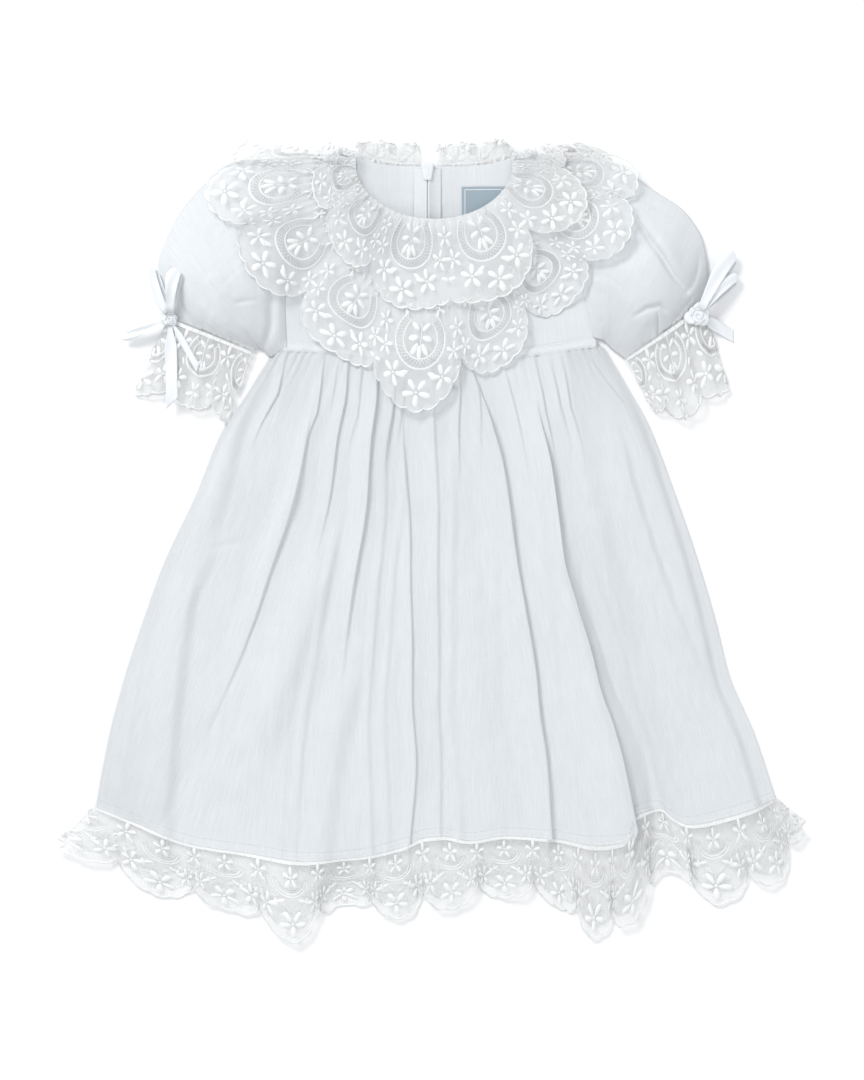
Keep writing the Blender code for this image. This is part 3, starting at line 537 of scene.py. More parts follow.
# Y, then X of the seam
LEFT_ARMHOLE = ((150, -118), (197, -119.2), (250, -117), (305, -113.6))
RIGHT_ARMHOLE = ((150, 134), (180, 127), (214, 119.5), (255, 115.5), (305, 112.5))


def skirt_width(v):
    """Distance between the side seams at a share of the drop."""
    return through(SKIRT_SIDES, v, 2) - through(SKIRT_SIDES, v, 1)


def skirt_outline(across, v):
    """Where the skirt's cloth lies on the page."""
    x = through(SKIRT_SIDES, v, 1) + skirt_width(v) * across
    top = through(WAIST_LINE, across)
    return x, top + (through(HEM_LINE, across) - top) * v


def neck_edge(x):
    """Height on the page of the front's top edge: the neck curve, or the shoulder."""
    inside = np.clip(1 - ((x - NECK_CENTRE[0]) / NECK_HALF_WIDTH) ** 2, 0, 1)
    neck = NECK_CENTRE[1] - NECK_FRONT_DROP * np.sqrt(inside)
    shoulder = SHOULDER_TOP - (np.abs(x - NECK_CENTRE[0]) - NECK_HALF_WIDTH) * 0.115
    return np.where(np.abs(x - NECK_CENTRE[0]) < NECK_HALF_WIDTH, neck, shoulder)


def back_neck(x):
    """Height on the page of the back neckline."""
    off = np.abs(x - NECK_CENTRE[0]) / NECK_HALF_WIDTH
    return np.minimum(NECK_CENTRE[1] - 0.4 + 7 * off**4, SHOULDER_TOP - 4 - 7 * (off - 1).clip(0))


def waist_top(x, lift):
    """Height on the page of the waist seam's upper edge."""
    share = (x - through(SKIRT_SIDES, 0, 1)) / skirt_width(0)
    return through(WAIST_LINE, np.clip(share, 0, 1)) + lift


print("skirt width at the waist and the hem:", skirt_width([0, 1]).round(), "mm")

# %% [markdown]
# ## How the lace is drawn
#
# The maker's lace is a strip of net with one edge cut in big scallops. Each scallop
# repeats the same drawing: five-petalled flowers along the edge, a crescent with a
# lattice in it, and leaves inside the crescent. The drawing here is a plain one of
# that kind. A bump in a material would look flat from the side, so every stitch is a
# small raised patch. It is drawn flat, once: a is the distance from the scallop's
# middle, b the distance from the sewn edge, and h the height of the stitches.

# %% Petals, strokes and knots of thread
class Drawing:
    """Raised stitches drawn on flat lace, as points (a, b, h) and triangles."""

    def __init__(self):
        self.points = []
        self.faces = []

    def add(self, points, faces):
        """Adds one closed patch of stitches."""
        start = len(self.points)
        self.points += [tuple(p) for p in points]
        self.faces += [tuple(start + k for k in face) for face in faces]

    def petal(self, a, b, turn, length, width, height=0.75, waist=0.3):
        """A petal or leaf that starts at a place and points along a direction in degrees."""
        count = 10
        way = np.linspace(0, 2 * math.pi, count + 1)[:-1]
        along = 0.5 - 0.5 * np.cos(way)
        side = 0.5 * np.sin(way) * (1 - waist + waist * 1.6 * along)
        turn = math.radians(turn)
        points = []
        for size, level in ((1.0, 0.08), (0.62, height)):
            far = (0.5 + (along - 0.5) * size) * length
            off = side * size * width
            points += list(zip(a + far * math.cos(turn) - off * math.sin(turn),
                               b + far * math.sin(turn) + off * math.cos(turn), [level] * count))
        points.append((a + 0.5 * length * math.cos(turn), b + 0.5 * length * math.sin(turn), height * 1.12))
        faces = []
        for k in range(count):
            n = (k + 1) % count
            faces += [(k, n, count + n), (k, count + n, count + k), (count + k, count + n, 2 * count)]
        self.add(points, faces)

    def stroke(self, line, width, height=0.6):
        """A corded line of stitches along a list of places."""
        line = np.asarray(line, float)
        way = np.gradient(line, axis=0)
        way /= np.maximum(np.linalg.norm(way, axis=1, keepdims=True), 1e-9)
        side = np.stack([-way[:, 1], way[:, 0]], axis=1) * width / 2
        points = []
        for off, level in ((-1, 0.08), (0, height), (1, 0.08)):
            points += [(p[0] + off * s[0], p[1] + off * s[1], level) for p, s in zip(line, side)]
        n = len(line)
        faces = []
        for k in range(n - 1):
            for row in (0, n):
                faces += [(row + k, row + k + 1, row + n + k + 1), (row + k, row + n + k + 1, row + n + k)]
        self.add(points, faces)

    def knot(self, a, b, size, height=0.8):
        """A small round knot."""
        way = np.linspace(0, 2 * math.pi, 9)[:-1]
        rim = [(a + size / 2 * math.cos(w), b + size / 2 * math.sin(w), 0.1) for w in way]
        self.add(rim + [(a, b, height)], [(k, (k + 1) % 8, 8) for k in range(8)])

    def flower(self, a, b, size, petals=5, first=90):
        """A flower with slender open petals round a knot."""
        gap = 0.16 * size
        for k in range(petals):
            turn = first + 360 * k / petals
            self.petal(a + gap * math.cos(math.radians(turn)), b + gap * math.sin(math.radians(turn)),
                       turn, size - gap, 0.43 * size, 0.9)
        self.knot(a, b, 2.0, 0.9)


# %% [markdown]
# The middle of a scallop is a crescent of two cords with a lattice between them and
# leaves inside it, or, on narrow lace, two arcs over a flower. Each is lines on an
# oval, so one helper gives the points of all of them.

# %% Middle of a scallop
def oval(centre, reach_a, reach_b, turn, share=1.0):
    """Places on an oval, made smaller by a share."""
    return np.stack([share * reach_a * np.cos(turn), centre + share * reach_b * np.sin(turn)], axis=1)


def stitch_crescent(lace, centre, reach_a, reach_b):
    """A crescent with a lattice in it, and leaves on a stem inside it."""
    crescent = np.radians(np.linspace(-50, 230, 38))
    for share, thickness in ((1.0, 1.6), (0.68, 1.4)):
        lace.stroke(oval(centre, reach_a, reach_b, crescent, share), thickness, 0.8)
    bars = np.radians(np.linspace(-46, 226, 35))
    share = np.where(np.arange(35) % 2, 0.96, 0.72)
    for order in (share, 1.68 - share):
        lace.stroke(oval(centre, reach_a, reach_b, bars, order), 0.9, 0.55)
    leaf = 0.46 * reach_b
    for a, b, turn in ((2, 4, 58), (-2, 4, 122), (2, -1, 14), (-2, -1, 166),
                       (1.5, -6, -30), (-1.5, -6, 210), (0, 5, 90)):
        lace.petal(a, centre + b, turn, leaf, 0.44 * leaf, 0.9, 0.1)
    stem = np.linspace(0, 1, 9)
    lace.stroke(np.stack([1.2 * np.sin(3 * stem), centre + 9 - 24 * stem], axis=1), 0.9, 0.6)


def stitch_arcs(lace, centre, reach_a, reach_b):
    """Two arcs over a flower."""
    arc = np.radians(np.linspace(15, 165, 18))
    for share in (1.0, 0.84):
        lace.stroke(oval(centre, reach_a, reach_b, arc, share), 1.1, 0.7)
    lace.flower(0, centre, 8.2, first=-90)


test = Drawing()
stitch_crescent(test, 28, 26.5, 23.5)
print("a crescent has", len(test.faces), "triangles")

# %% [markdown]
# One scallop's drawing, for a scallop of any width. The flowers keep their size and
# only their distances change, because thread doesn't stretch. Wide, narrow and small
# scallops have their own tables, as the collar, hem and cuff lace differ.

# %% One scallop of lace
COLLAR_SCALLOP = 84
HEM_SCALLOP = 60
CUFF_SCALLOP = 48


def draw_scallop(width, depth, heading=False):
    """The stitches of one scallop, for a strip of that depth."""
    lace = Drawing()
    wide = width == COLLAR_SCALLOP
    small = width == CUFF_SCALLOP

    def up(edge_distance):
        return depth - edge_distance

    if wide:
        flowers = ((0, 15.0, 11.0, 0), (20.5, 24.5, 10.4, 25), (34.5, 41, 8.8, 50))
        centre, reach_a, reach_b = up(56), 26.5, 23.5
    elif small:
        flowers = ((0, 12.0, 8.6, 0), (width * 0.36, 18.5, 8.0, 35))
        centre, reach_a, reach_b = up(40), 16.5, 15.5
    else:
        flowers = ((0, 13.0, 9.6, 0), (width * 0.32, 22.5, 9.2, 35))
        centre, reach_a, reach_b = up(44), 0.27 * width, 13.0
    for a, e, size, lean in flowers:
        for side in (-1, 1) if a else (1,):
            lace.flower(side * a, up(e), size, first=90 + side * lean)
    if wide or small:
        stitch_crescent(lace, centre, reach_a, reach_b)
    else:
        stitch_arcs(lace, centre, reach_a, reach_b)
    valley = width / 2
    lace.flower(valley, up(59 if wide else 45), 9.4 if wide else 8.6, first=-90)
    for side in (-1, 1):
        if small:
            lace.petal(valley + side * 4, up(34), 90 - side * 40, 6.5, 2.8, 0.8, 0.1)
        elif wide:
            lace.petal(side * 8, up(29.5), 90 - side * 62, 8, 3.8, 0.8, 0.1)
            lace.petal(side * (valley - 7), up(27), 90 - side * 75, 7, 3.4, 0.8, 0.1)
            lace.flower(side * (valley - 20), up(79), 8.8, first=90 + side * 20)
        else:
            lace.petal(side * 5, up(29), 90 - side * 62, 6.5, 2.6, 0.8, 0.1)
            lace.petal(side * 0.21 * width, up(29), 90 + side * 25, 6, 2.4, 0.8, 0.1)
            lace.petal(valley + side * 5, up(41), 90 - side * 35, 5.5, 2.2, 0.8, 0.1)
            lace.petal(valley + side * 1.5, up(31), 90 - side * 48, 6.5, 2.6, 0.8, 0.1)
    for k in range(6 if wide else 0):
        a = width * ((k + 0.5) / 6 - 0.5)
        lace.petal(a, 2.5, 90 + (24 if k % 2 else -24), 6.2, 2.6, 0.6, 0.1)
    if heading:
        lace.stroke([(a, 2.4) for a in np.linspace(-width / 2, width / 2, 14)], 4.8, 0.25)
    points, faces = np.array(lace.points), np.array(lace.faces)
    inside = (points[:, 1] > 0)[faces].all(axis=1)
    return points, faces[inside]


for width in (COLLAR_SCALLOP, HEM_SCALLOP, CUFF_SCALLOP):
    print("scallop of", width, "mm:", len(draw_scallop(width, 60)[1]), "triangles")

# %% [markdown]
# ## Sewing the drawing onto a curved strip
#
# A curved strip of lace is a function that takes the place along the strip, counted
# in scallops, and the share of its width, and gives a point in space. Sending every
# stitch of the flat drawing through that function bends the embroidery exactly like
# the net below it. A curve modifier could bend one edge, but not both at once.

# %% Stitches of one strip
def scalloped(s, teeth, bite):
    """Share of the strip's width at the cut edge: one big scallop with small ones on it.

    bite is how deep the dips between scallops are, one number for each dip."""
    lobe = np.abs(np.cos(math.pi * s))
    small = np.abs(np.cos(math.pi * teeth * s))
    deep = through([(k + 0.5, b) for k, b in enumerate(bite)], s)
    return 1 - deep * (1 - lobe**0.8) - 0.03 * (1 - small**0.7)


def lifted(surface, s, t, h):
    """Points at a height of h millimetres above a strip."""
    here = surface(s, t)
    step = 0.004
    along = surface(s + step, t) - surface(s - step, t)
    down = surface(s, t + step) - surface(s, t - step)
    normal = np.cross(along, down)
    normal /= np.maximum(np.linalg.norm(normal, axis=-1, keepdims=True), 1e-9)
    normal *= np.where(normal[..., 2:] < 0, -1, 1)
    return here + normal * np.asarray(h)[..., None]


def sewn_scallops(surface, first, last, width, depth, teeth, bite, heading):
    """The drawing repeated at every scallop: its points on the strip, faces and flat places."""
    points, faces = draw_scallop(width, depth, heading)
    number = np.arange(math.floor(first), math.ceil(last) + 1)
    s = (points[:, 0] / width + number[:, None]).ravel()
    t = np.tile(points[:, 1] / depth, len(number))
    h = np.tile(points[:, 2], len(number))
    faces = (faces + (np.arange(len(number)) * len(points))[:, None, None]).reshape(-1, 3)
    inside = (s > first) & (s < last) & (t < scalloped(s, teeth, bite) - 0.01)
    used, order = np.unique(faces[inside[faces].all(axis=1)], return_inverse=True)
    flat = np.stack([s * width, t * depth], axis=-1)
    return lifted(surface, s, t, h)[used], order.reshape(-1, 3), flat[used]


# %% [markdown]
# A thick cord runs along the cut edge and keeps it from fraying. It is a thin tube of
# six sides round the edge's line, and joins the stitches in one mesh.

# %% Edge cord and the whole strip
CORD_RADIUS = 0.75
CORD_SIDES = 6


def edge_cord(surface, first, last, columns, teeth, bite):
    """Places of the corded edge on the strip, and its rings of points."""
    ring = np.radians(np.arange(0, 360, 360 / CORD_SIDES))
    s = np.linspace(first + 0.002, last - 0.002, columns + 1)[:, None] + 0 * ring
    t = scalloped(s, teeth, bite)
    centre = surface(s, t)
    out = centre - surface(s, t - 0.02)
    out /= np.linalg.norm(out, axis=-1, keepdims=True)
    up = lifted(surface, s, t, np.ones_like(t)) - centre
    return s, t, centre + CORD_RADIUS * (np.cos(ring)[:, None] * out + np.sin(ring)[:, None] * up)


def make_lace(name, surface, first, last, width, depth, nodes,
              teeth=7, rows=26, bite=(0.3, 0.3), heading=False):
    """One strip of lace: net, raised stitches and the corded edge."""
    columns = int((last - first) * teeth * 8)
    s, share = net_of(first, last, columns, rows)
    t = share * scalloped(s, teeth, bite)
    grid = surface(s, t)
    flat = np.stack([s * width, t * depth], axis=-1)
    ground = settle_in(make_cloth(name + "_net", grid, net, flat=flat), "lace", *nodes)
    stitches, faces, flat = sewn_scallops(surface, first, last, width, depth, teeth, bite, heading)
    edge_s, edge_t, cord = edge_cord(surface, first, last, columns, teeth, bite)
    cord_faces = grid_faces(columns + 1, CORD_SIDES, True)
    halves = np.concatenate([cord_faces[:, [0, 1, 2]], cord_faces[:, [0, 2, 3]]]) + len(stitches)
    cord_flat = np.stack([edge_s * width, edge_t * depth + 3 * np.arange(CORD_SIDES) / CORD_SIDES], axis=-1)
    work = make_mesh(
        name + "_embroidery",
        np.concatenate([stitches, cord.reshape(-1, 3)]),
        np.concatenate([faces, halves]),
        np.concatenate([flat, cord_flat.reshape(-1, 2)]),
        embroidery,
    )
    settle_in(work, "lace")
    area = sum(face.area for face in ground.data.polygons)
    print(name, "covers", round(area, 4), "square metres")
    return grid


# %% [markdown]
# ## Lace behind the neck
#
# The collar's back part stands a little above the neckline, rolls over, and lies
# under the dress. Only the roll shows above the neck. It is one strip that follows a
# rolled profile, and it is made first, because everything else lies on it.

# %% Back collar, rolled over the neckline
# share of the strip's width, its rise above the neckline and its height off the table
BACK_ROLL = (
    (0, 0, 3.2), (0.2, 11, 3.2), (0.3, 16, 3.1), (0.36, 17.9, 2.6), (0.4, 18.5, 1.7),
    (0.44, 17.9, 0.9), (0.5, 16, 0.6), (0.75, -5, 0.55), (1, -27, 0.55),
)
FIRST_HIDDEN_ROW = 26


def back_collar_surface(first, last, scallops):
    """The rolled strip between two places across the neck."""
    def surface(s, t):
        c = s / scallops
        x = first + (last - first) * c
        rise = through(BACK_ROLL, t, 1)
        off = np.abs(x - NECK_CENTRE[0]) / NECK_HALF_WIDTH
        crown = 0.92 + 0.07 * np.sin(14 * c + first) - 0.35 * off**4
        seam = np.maximum(back_neck(x - 8), back_neck(x + 8)) + 0.8
        y = seam + rise * np.where(rise > 0, crown, 1)
        flute = 0.5 - 0.5 * np.cos(2 * math.pi * (5 * s + 0.2 * np.sin(7 * s)))
        z = through(BACK_ROLL, t, 2) + 1.5 * flute * ease(t, 0.02, 0.12) * (1 - ease(t, 0.3, 0.42))
        x = x + 0.6 * np.sin(20 * math.pi * s) * ease(rise, 4, 18)
        return np.stack([x, y, z], axis=-1)

    return surface


for name, first, last, count in (("collar_back_left", -61, -10.5, 1.0), ("collar_back_right", 3.3, 64, 1.2)):
    laid_strip = make_lace(name, back_collar_surface(first, last, count), 0.0, count, HEM_SCALLOP, 66, [name],
                           teeth=6, rows=40)
    lay(laid_strip[:, FIRST_HIDDEN_ROW:])

# %% [markdown]
# ## The back of the bodice
#
# Seen through the neck: two plain halves that meet at the zip. They lie on the
# rolled lace, so they rise a little near the neckline. Both come from one function,
# which gets the armhole and the middle edge of its half.

# %% Two halves of the back
LINEN_THICK = 0.4


def make_back_half(name, armhole, middle):
    """One half of the back, from the waist seam to the neckline."""
    c, v = net_of(0, 1, 60, 70)
    low = waist_top(through(armhole, 160) * (1 - c) + middle * c, 6.5)
    y = low + (back_neck(through(armhole, 305) * (1 - c) + middle * c) - low) * v
    x = through(armhole, y) * (1 - c) + middle * c
    near_zip = np.exp(-((x - CENTRE_BACK) / 24) ** 2)
    z = height_at(softened(3), x, y) + near_zip * (2.4 * ease(y, 258, 274) + 0.9 * ease(y, 276, 287))
    beside_neck = ease(np.abs(x - NECK_CENTRE[0]), 20, 60) * ease(y, 235, 275)
    soft = 0.35 * (1 + rumple(x, y, 1.0, 18, 60, 5)) * ease(y, 160, 190)
    swell = np.where(x < NECK_CENTRE[0], 6.5, 4.0) * beside_neck
    grid = np.stack([x, y, 0.75 + z + soft + swell], axis=-1)
    made = settle_in(make_cloth(name + "_linen", grid, linen, thick=LINEN_THICK), "linen", name)
    return grid


halves = [make_back_half("bodice_back_left", LEFT_ARMHOLE, CENTRE_BACK - 0.25),
          make_back_half("bodice_back_right", RIGHT_ARMHOLE, CENTRE_BACK + 0.25)]
for half in halves:
    lay(half)

# %% [markdown]
# ## The zip
#
# An invisible zip hides its coil behind the tape, so from inside one sees two smooth
# tapes with a fine groove between them, and the slider's back at the top. A tape is a
# profile drawn along the middle of the back, and follows the cloth below it.

# %% Zip tapes
TAPE_Y = np.linspace(155, 297.5, 90)


def make_zip_tapes():
    """Two tapes with turned edges, and the height of the cloth below their middle."""
    smooth = softened(2)
    profile = ((-11, 0.05), (-10.2, 0.3), (-2.4, 0.5), (-1.9, 1.2), (-1.2, 1.5), (-0.5, 1.3), (-0.12, 0.5))
    made = []
    for side in (-1, 1):
        x, y = np.meshgrid([CENTRE_BACK - side * p for p, _ in profile], TAPE_Y, indexing="ij")
        raise_by = np.array([h for _, h in profile])[:, None]
        grid = np.stack([x, y, height_at(smooth, x, y) + raise_by], axis=-1)
        lay(grid)
        made.append(make_cloth("tape", grid[::-side], tape, thick=0.12))
    return made, height_at(smooth, np.full_like(TAPE_Y, CENTRE_BACK), TAPE_Y)


def joined(name, pieces):
    """Several meshes as one."""
    bpy.ops.object.select_all(action="DESELECT")
    for piece in pieces:
        piece.select_set(True)
    bpy.context.view_layer.objects.active = pieces[0]
    bpy.ops.object.join()
    pieces[0].name = name
    return pieces[0]


tapes, zip_floor = make_zip_tapes()
zip_tape = settle_in(joined("zip_tapes", tapes), "zip_tape", "zip_tape")

# %% [markdown]
# The coil is a nylon thread wound in tight loops. In the groove only their ends show,
# so each is a small block, and all of them are one mesh.

# %% Rows of coil loops in the groove
def small_parts(name, part, faces, places, finish):
    """Many copies of one small closed shape, joined in one mesh."""
    points = (part + places[:, None, :]).reshape(-1, 3)
    count = len(part)
    all_faces = []
    for face in faces:
        all_faces += [tuple(k * count + c for c in face) for k in range(len(places))]
    return make_mesh(name, points, all_faces, points[:, :2], finish)


COIL_PITCH = 1.1
COIL_SWAY = 0.12
tooth = np.array([(-0.5, -0.3, 0), (0.5, -0.3, 0), (0.5, 0.3, 0), (-0.5, 0.3, 0),
                  (-0.35, -0.2, 0.35), (0.35, -0.2, 0.35), (0.35, 0.2, 0.35), (-0.35, 0.2, 0.35)])
tooth_faces = [(3, 2, 1, 0), (4, 5, 6, 7), (0, 1, 5, 4), (1, 2, 6, 5), (2, 3, 7, 6), (3, 0, 4, 7)]
coil_y = np.arange(156.0, 286.5, COIL_PITCH)
coil_x = CENTRE_BACK + COIL_SWAY * np.where(np.arange(len(coil_y)) % 2, 1, -1)
coil_z = np.interp(coil_y, TAPE_Y, zip_floor) + 0.35
coil_places = np.stack([coil_x, coil_y, coil_z], axis=1)
settle_in(small_parts("zip_coil", tooth, tooth_faces, coil_places, enamel), "zip_metal")
print("coil loops:", len(coil_y))

# %% [markdown]
# The slider is a small painted casting: a crown that is wide at the top and narrow
# at the bottom, a rib on it, a smaller base plate, a post between the two, and a bail
# that holds the pull tab behind the dress. Each plate is one outline at several
# levels, and a bevel softens all edges, which is quicker than modelling each edge.

# %% Slider
BAIL_Y = 297.0


def rounded_stack(outline, levels):
    """Points of an outline repeated at levels, each with its own size."""
    outline = np.asarray(outline, float)
    middle = outline.mean(axis=0)
    points = []
    for z, size in levels:
        points += [(*(middle + (p - middle) * size), z) for p in outline]
    count = len(outline)
    faces = [tuple(range(count))[::-1], tuple(count * (len(levels) - 1) + k for k in range(count))]
    for low in range(0, count * (len(levels) - 1), count):
        for k in range(count):
            n = (k + 1) % count
            faces.append((low + k, low + n, low + count + n, low + count + k))
    return points, faces


def slider_outline():
    """Wide and round at the top, narrow at the bottom."""
    rows = (
        (288.0, 2.6), (289.2, 3.3), (292, 3.7), (295, 4.3),
        (298.5, 5.0), (300.8, 4.7), (302.1, 3.4), (302.6, 1.6),
    )
    right = [(CENTRE_BACK + w, y) for y, w in rows]
    return right + [(2 * CENTRE_BACK - x, y) for x, y in reversed(right)]


def make_slider():
    """The slider's crown, base plate, rib, post and bail."""
    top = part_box("zip_slider")[1].z / MM
    pieces = []

    def cast(part, outline, *levels):
        points, faces = rounded_stack(outline, levels)
        pieces.append(make_mesh(part, points, faces, np.array(points)[:, :2], enamel))

    crown = slider_outline()
    rib = [(CENTRE_BACK + x, y) for x, y in ((-0.8, 290), (0.8, 290), (1.1, 300.4), (-1.1, 300.4))]
    post = [(CENTRE_BACK + x, y) for x, y in ((-1.3, 300.5), (1.3, 300.5), (1.3, 302.3), (-1.3, 302.3))]
    cast("slider_crown", crown, (top - 1.3, 0.94), (top - 1.15, 1.0), (top - 0.5, 0.99),
         (top - 0.15, 0.90), (top, 0.74))
    cast("slider_plate", crown, (2.25, 0.5), (2.35, 0.56), (2.8, 0.56), (2.9, 0.5))
    cast("slider_rib", rib, (top - 0.2, 1.0), (top + 0.1, 0.9), (top + 0.2, 0.6))
    cast("slider_post", post, (2.5, 1.0), (top - 0.8, 1.0))
    turn = np.linspace(0, math.pi, 13)
    eye = [(BAIL_Y - 1.5 * math.cos(a), 1.55 - 1.2 * math.sin(a)) for a in turn]
    line = np.array([(BAIL_Y - 1.5, 2.5), *eye, (BAIL_Y + 1.5, 2.5)])
    ring = np.linspace(0, 2 * math.pi, 9)[:-1]
    way = np.gradient(line, axis=0)
    way /= np.linalg.norm(way, axis=1, keepdims=True)
    tube = np.stack([
        CENTRE_BACK + 1.1 * np.cos(ring)[None] + 0 * line[:, :1],
        line[:, :1] + 0.33 * np.sin(ring)[None] * way[:, 1:],
        line[:, 1:] - 0.33 * np.sin(ring)[None] * way[:, :1],
    ], axis=-1)
    pieces.append(make_cloth("slider_bail", tube, enamel, closed=True))
    return joined("zip_slider_cast", pieces)


slider = settle_in(make_slider(), "zip_metal", "zip_slider")
bevel = slider.modifiers.new("soft_edges", "BEVEL")
bevel.width = 0.12 * MM
bevel.segments = 2

# %% [markdown]
# The pull tab is a flat plate with a window. It hangs in the bail and turns there, so
# it is a body of its own: it rides on zip_pull, and everything else on dress. Its
# outline is drawn from the pivot, which is the place where the two must agree.

# %% Pull tab
PIVOT_Z = 1.4
TAB_MIDDLE = 9


def make_pull():
    """A flat tab with rounded corners and a window; its crossbar runs through the bail."""
    outline = [(-3.4, 0.5), (3.4, 0.5), (4, -0.1), (4, -13.4), (3.8, -14.6), (2.8, -19.4), (2.1, -20),
               (-2.1, -20), (-2.8, -19.4), (-3.8, -14.6), (-4, -13.4), (-4, -0.1)]
    window = [(-2.4, -0.5), (2.4, -0.5), (2.4, -0.9), (2.4, -7.6), (2.2, -8.1), (1.2, -8.6), (0.6, -8.6),
              (-0.6, -8.6), (-1.2, -8.6), (-2.2, -8.1), (-2.4, -7.6), (-2.4, -0.9)]
    points = []
    for shape, levels in ((outline, (-0.35, -0.5, 0.5, 0.35)), (window, (-0.5, 0.5))):
        for level in levels:
            size = 1.0 if abs(level) < 0.4 or shape is window else 0.96
            for x, y in shape:
                far = (y + TAB_MIDDLE) * size - TAB_MIDDLE
                points.append((CENTRE_BACK + x * size, BAIL_Y + far, PIVOT_Z + level))
    count = len(outline)
    rings = [list(range(count * k, count * k + count)) for k in range(6)]
    faces = []
    for a, b in ((0, 3), (0, 1), (3, 2), (1, 4), (2, 5), (4, 5)):
        for k in range(count):
            n = (k + 1) % count
            faces.append((rings[a][k], rings[a][n], rings[b][n], rings[b][k]))
    return make_mesh("zip_pull_tab", points, faces, np.array(points)[:, :2], enamel)


settle_in(make_pull(), "zip_metal", "zip_pull", body="zip_pull")

# %% [markdown]
# ## The label
#
# A woven label is sewn inside the right back, under the neckline. It is a plain
# blue-grey patch with a border line. The line could be painted in the material, but
# woven threads stand up, so it is four narrow strips.

# %% Woven label with a border line
# X of its sides, then Y of its lower and upper edge
LABEL = (24, 58, 257, 283)
LABEL_LIFT = 0.75
BORDER_INSET = 2
BORDER_WIDTH = 0.7


def label_grid(x0, x1, y0, y1, lift, columns=24, rows=18):
    """A rectangle laid on the back."""
    c, v = net_of(0, 1, columns, rows)
    x = x0 + (x1 - x0) * c
    y = y0 + (y1 - y0) * v
    z = height_at(softened(1), x, y) + lift + 0.25 * np.sin(0.21 * x + 0.13 * y)
    return np.stack([x, y, z], axis=-1)


label_cloth = label_grid(*LABEL, LABEL_LIFT)
label = settle_in(make_cloth("woven_label", label_cloth, label_weave, thick=LINEN_THICK), "label", "label")
left, right, low, high = (place + way * BORDER_INSET for place, way in zip(LABEL, (1, -1, 1, -1)))
borders = []
for box in ((left, right, low, low + BORDER_WIDTH), (left, right, high - BORDER_WIDTH, high),
            (left, left + BORDER_WIDTH, low, high), (right - BORDER_WIDTH, right, low, high)):
    borders.append(make_cloth("border", label_grid(*box, 1.0, 16, 10), sewing, thick=0.2))
border = settle_in(joined("label_border", borders), "label")
lay(label_cloth)

# %% [markdown]
# ## The front of the bodice
#
# A plain panel. Most of it is under the lace; what shows at the sides is soft and
# slightly puffed where the sleeves pull at it. Its columns stand closer together round
# the neck, so that the curve of the neckline stays smooth without a dense grid.

# %% Front panel
def bodice_grid(columns, rows):
    """The front panel over the back and the zip."""
    neck = -np.cos(np.linspace(0, math.pi, columns // 2 + 1)) * NECK_HALF_WIDTH + NECK_CENTRE[0]
    left = np.linspace(-115, neck[0] - 1.6, columns // 4)
    right = np.linspace(neck[-1] + 1.6, 113.5, columns // 4)
    start = np.concatenate([left, neck, right])
    x0, v = np.meshgrid(start, np.linspace(0, 1, rows + 1), indexing="ij")
    share = (x0 - start[0]) / (start[-1] - start[0])
    side = ease(np.abs(share - 0.5), 0.32, 0.5)

    def placed(y):
        outside = through(LEFT_ARMHOLE, y) * (1 - share) + through(RIGHT_ARMHOLE, y) * share
        return x0 * (1 - side) + outside * side

    low = waist_top(placed(160.0), 4.6)
    y = low + (neck_edge(x0) - low) * v
    x = placed(y)
    edge = np.exp(-np.minimum(share, 1 - share) * 230 / 14)
    puff = 2.4 * edge * np.sin(math.pi * np.clip((y - 158) / 148, 0, 1))
    uneven = (1 + rumple(x, y, 1.2, 14, 55, 8, 1.3)) * ease(y, 158, 175)
    return np.stack([x, y, height_at(softened(3), x, y) + 0.85 + puff + 0.5 * uneven], axis=-1)


front = bodice_grid(120, 90)
bodice = settle_in(make_cloth("bodice_front_linen", front, linen, thick=LINEN_THICK), "linen", "bodice_front")

# %% [markdown]
# ## The skirt
#
# The front is gathered into the waist seam, and its folds fan out to the hem. Each
# main fold was measured in the picture at the waist, halfway down and at the hem, with
# its rise and the width of its two flanks. A sharp fold leans over its steep
# flank, which is what makes the thin dark line beside it. A simulation would give good
# folds too, but other ones: a table keeps each fold where the real one lies.

# %% Tables of the skirt's folds
# where the crest runs as (share of the drop, share of the width), then its rise, left
# flank, right flank, the drop where it begins and has died out, and how far it leans
LONG_FOLDS = (
    (((0, 0.160), (0.24, 0.199), (0.48, 0.188), (0.61, 0.172), (0.74, 0.148), (1, 0.090)),
     3.2, 20, 4.0, 0.06, 0.94, 1.9),
    (((0, 0.235), (0.13, 0.261), (0.31, 0.272), (0.5, 0.272)), 3.0, 13, 3.5, -0.1, 0.46, 2.2),
    (((0, 0.318), (0.15, 0.339), (0.35, 0.349), (0.7, 0.350)), 4.2, 16, 5.0, -0.1, 0.78, 3.2),
    (((0, 0.405), (0.12, 0.415), (0.4, 0.454), (0.63, 0.470), (0.8, 0.475), (1, 0.458)),
     2.4, 10, 3.5, 0.02, 1.40, 1.6),
    (((0, 0.480), (0.26, 0.501), (0.5, 0.512), (0.7, 0.517), (1, 0.503)), 1.9, 12, 4.5, -0.05, 1.40, 1.0),
    (((0, 0.580), (0.1, 0.616), (0.22, 0.641), (0.38, 0.652), (0.53, 0.666), (0.7, 0.678), (1, 0.663)),
     5.4, 30, 4.6, -0.05, 1.04, 4.4),
    (((0, 0.765), (0.14, 0.746), (0.26, 0.742), (0.4, 0.741), (0.51, 0.755), (0.63, 0.772),
      (0.79, 0.783), (1, 0.783)), 7.2, 40, 4.5, 0.04, 1.40, 6.8),
    (((0, 0.880), (0.18, 0.834), (0.36, 0.822), (0.55, 0.829), (0.7, 0.843), (0.85, 0.829), (1, 0.816)),
     3.0, 16, 26, 0.12, 1.40, 0.0),
)
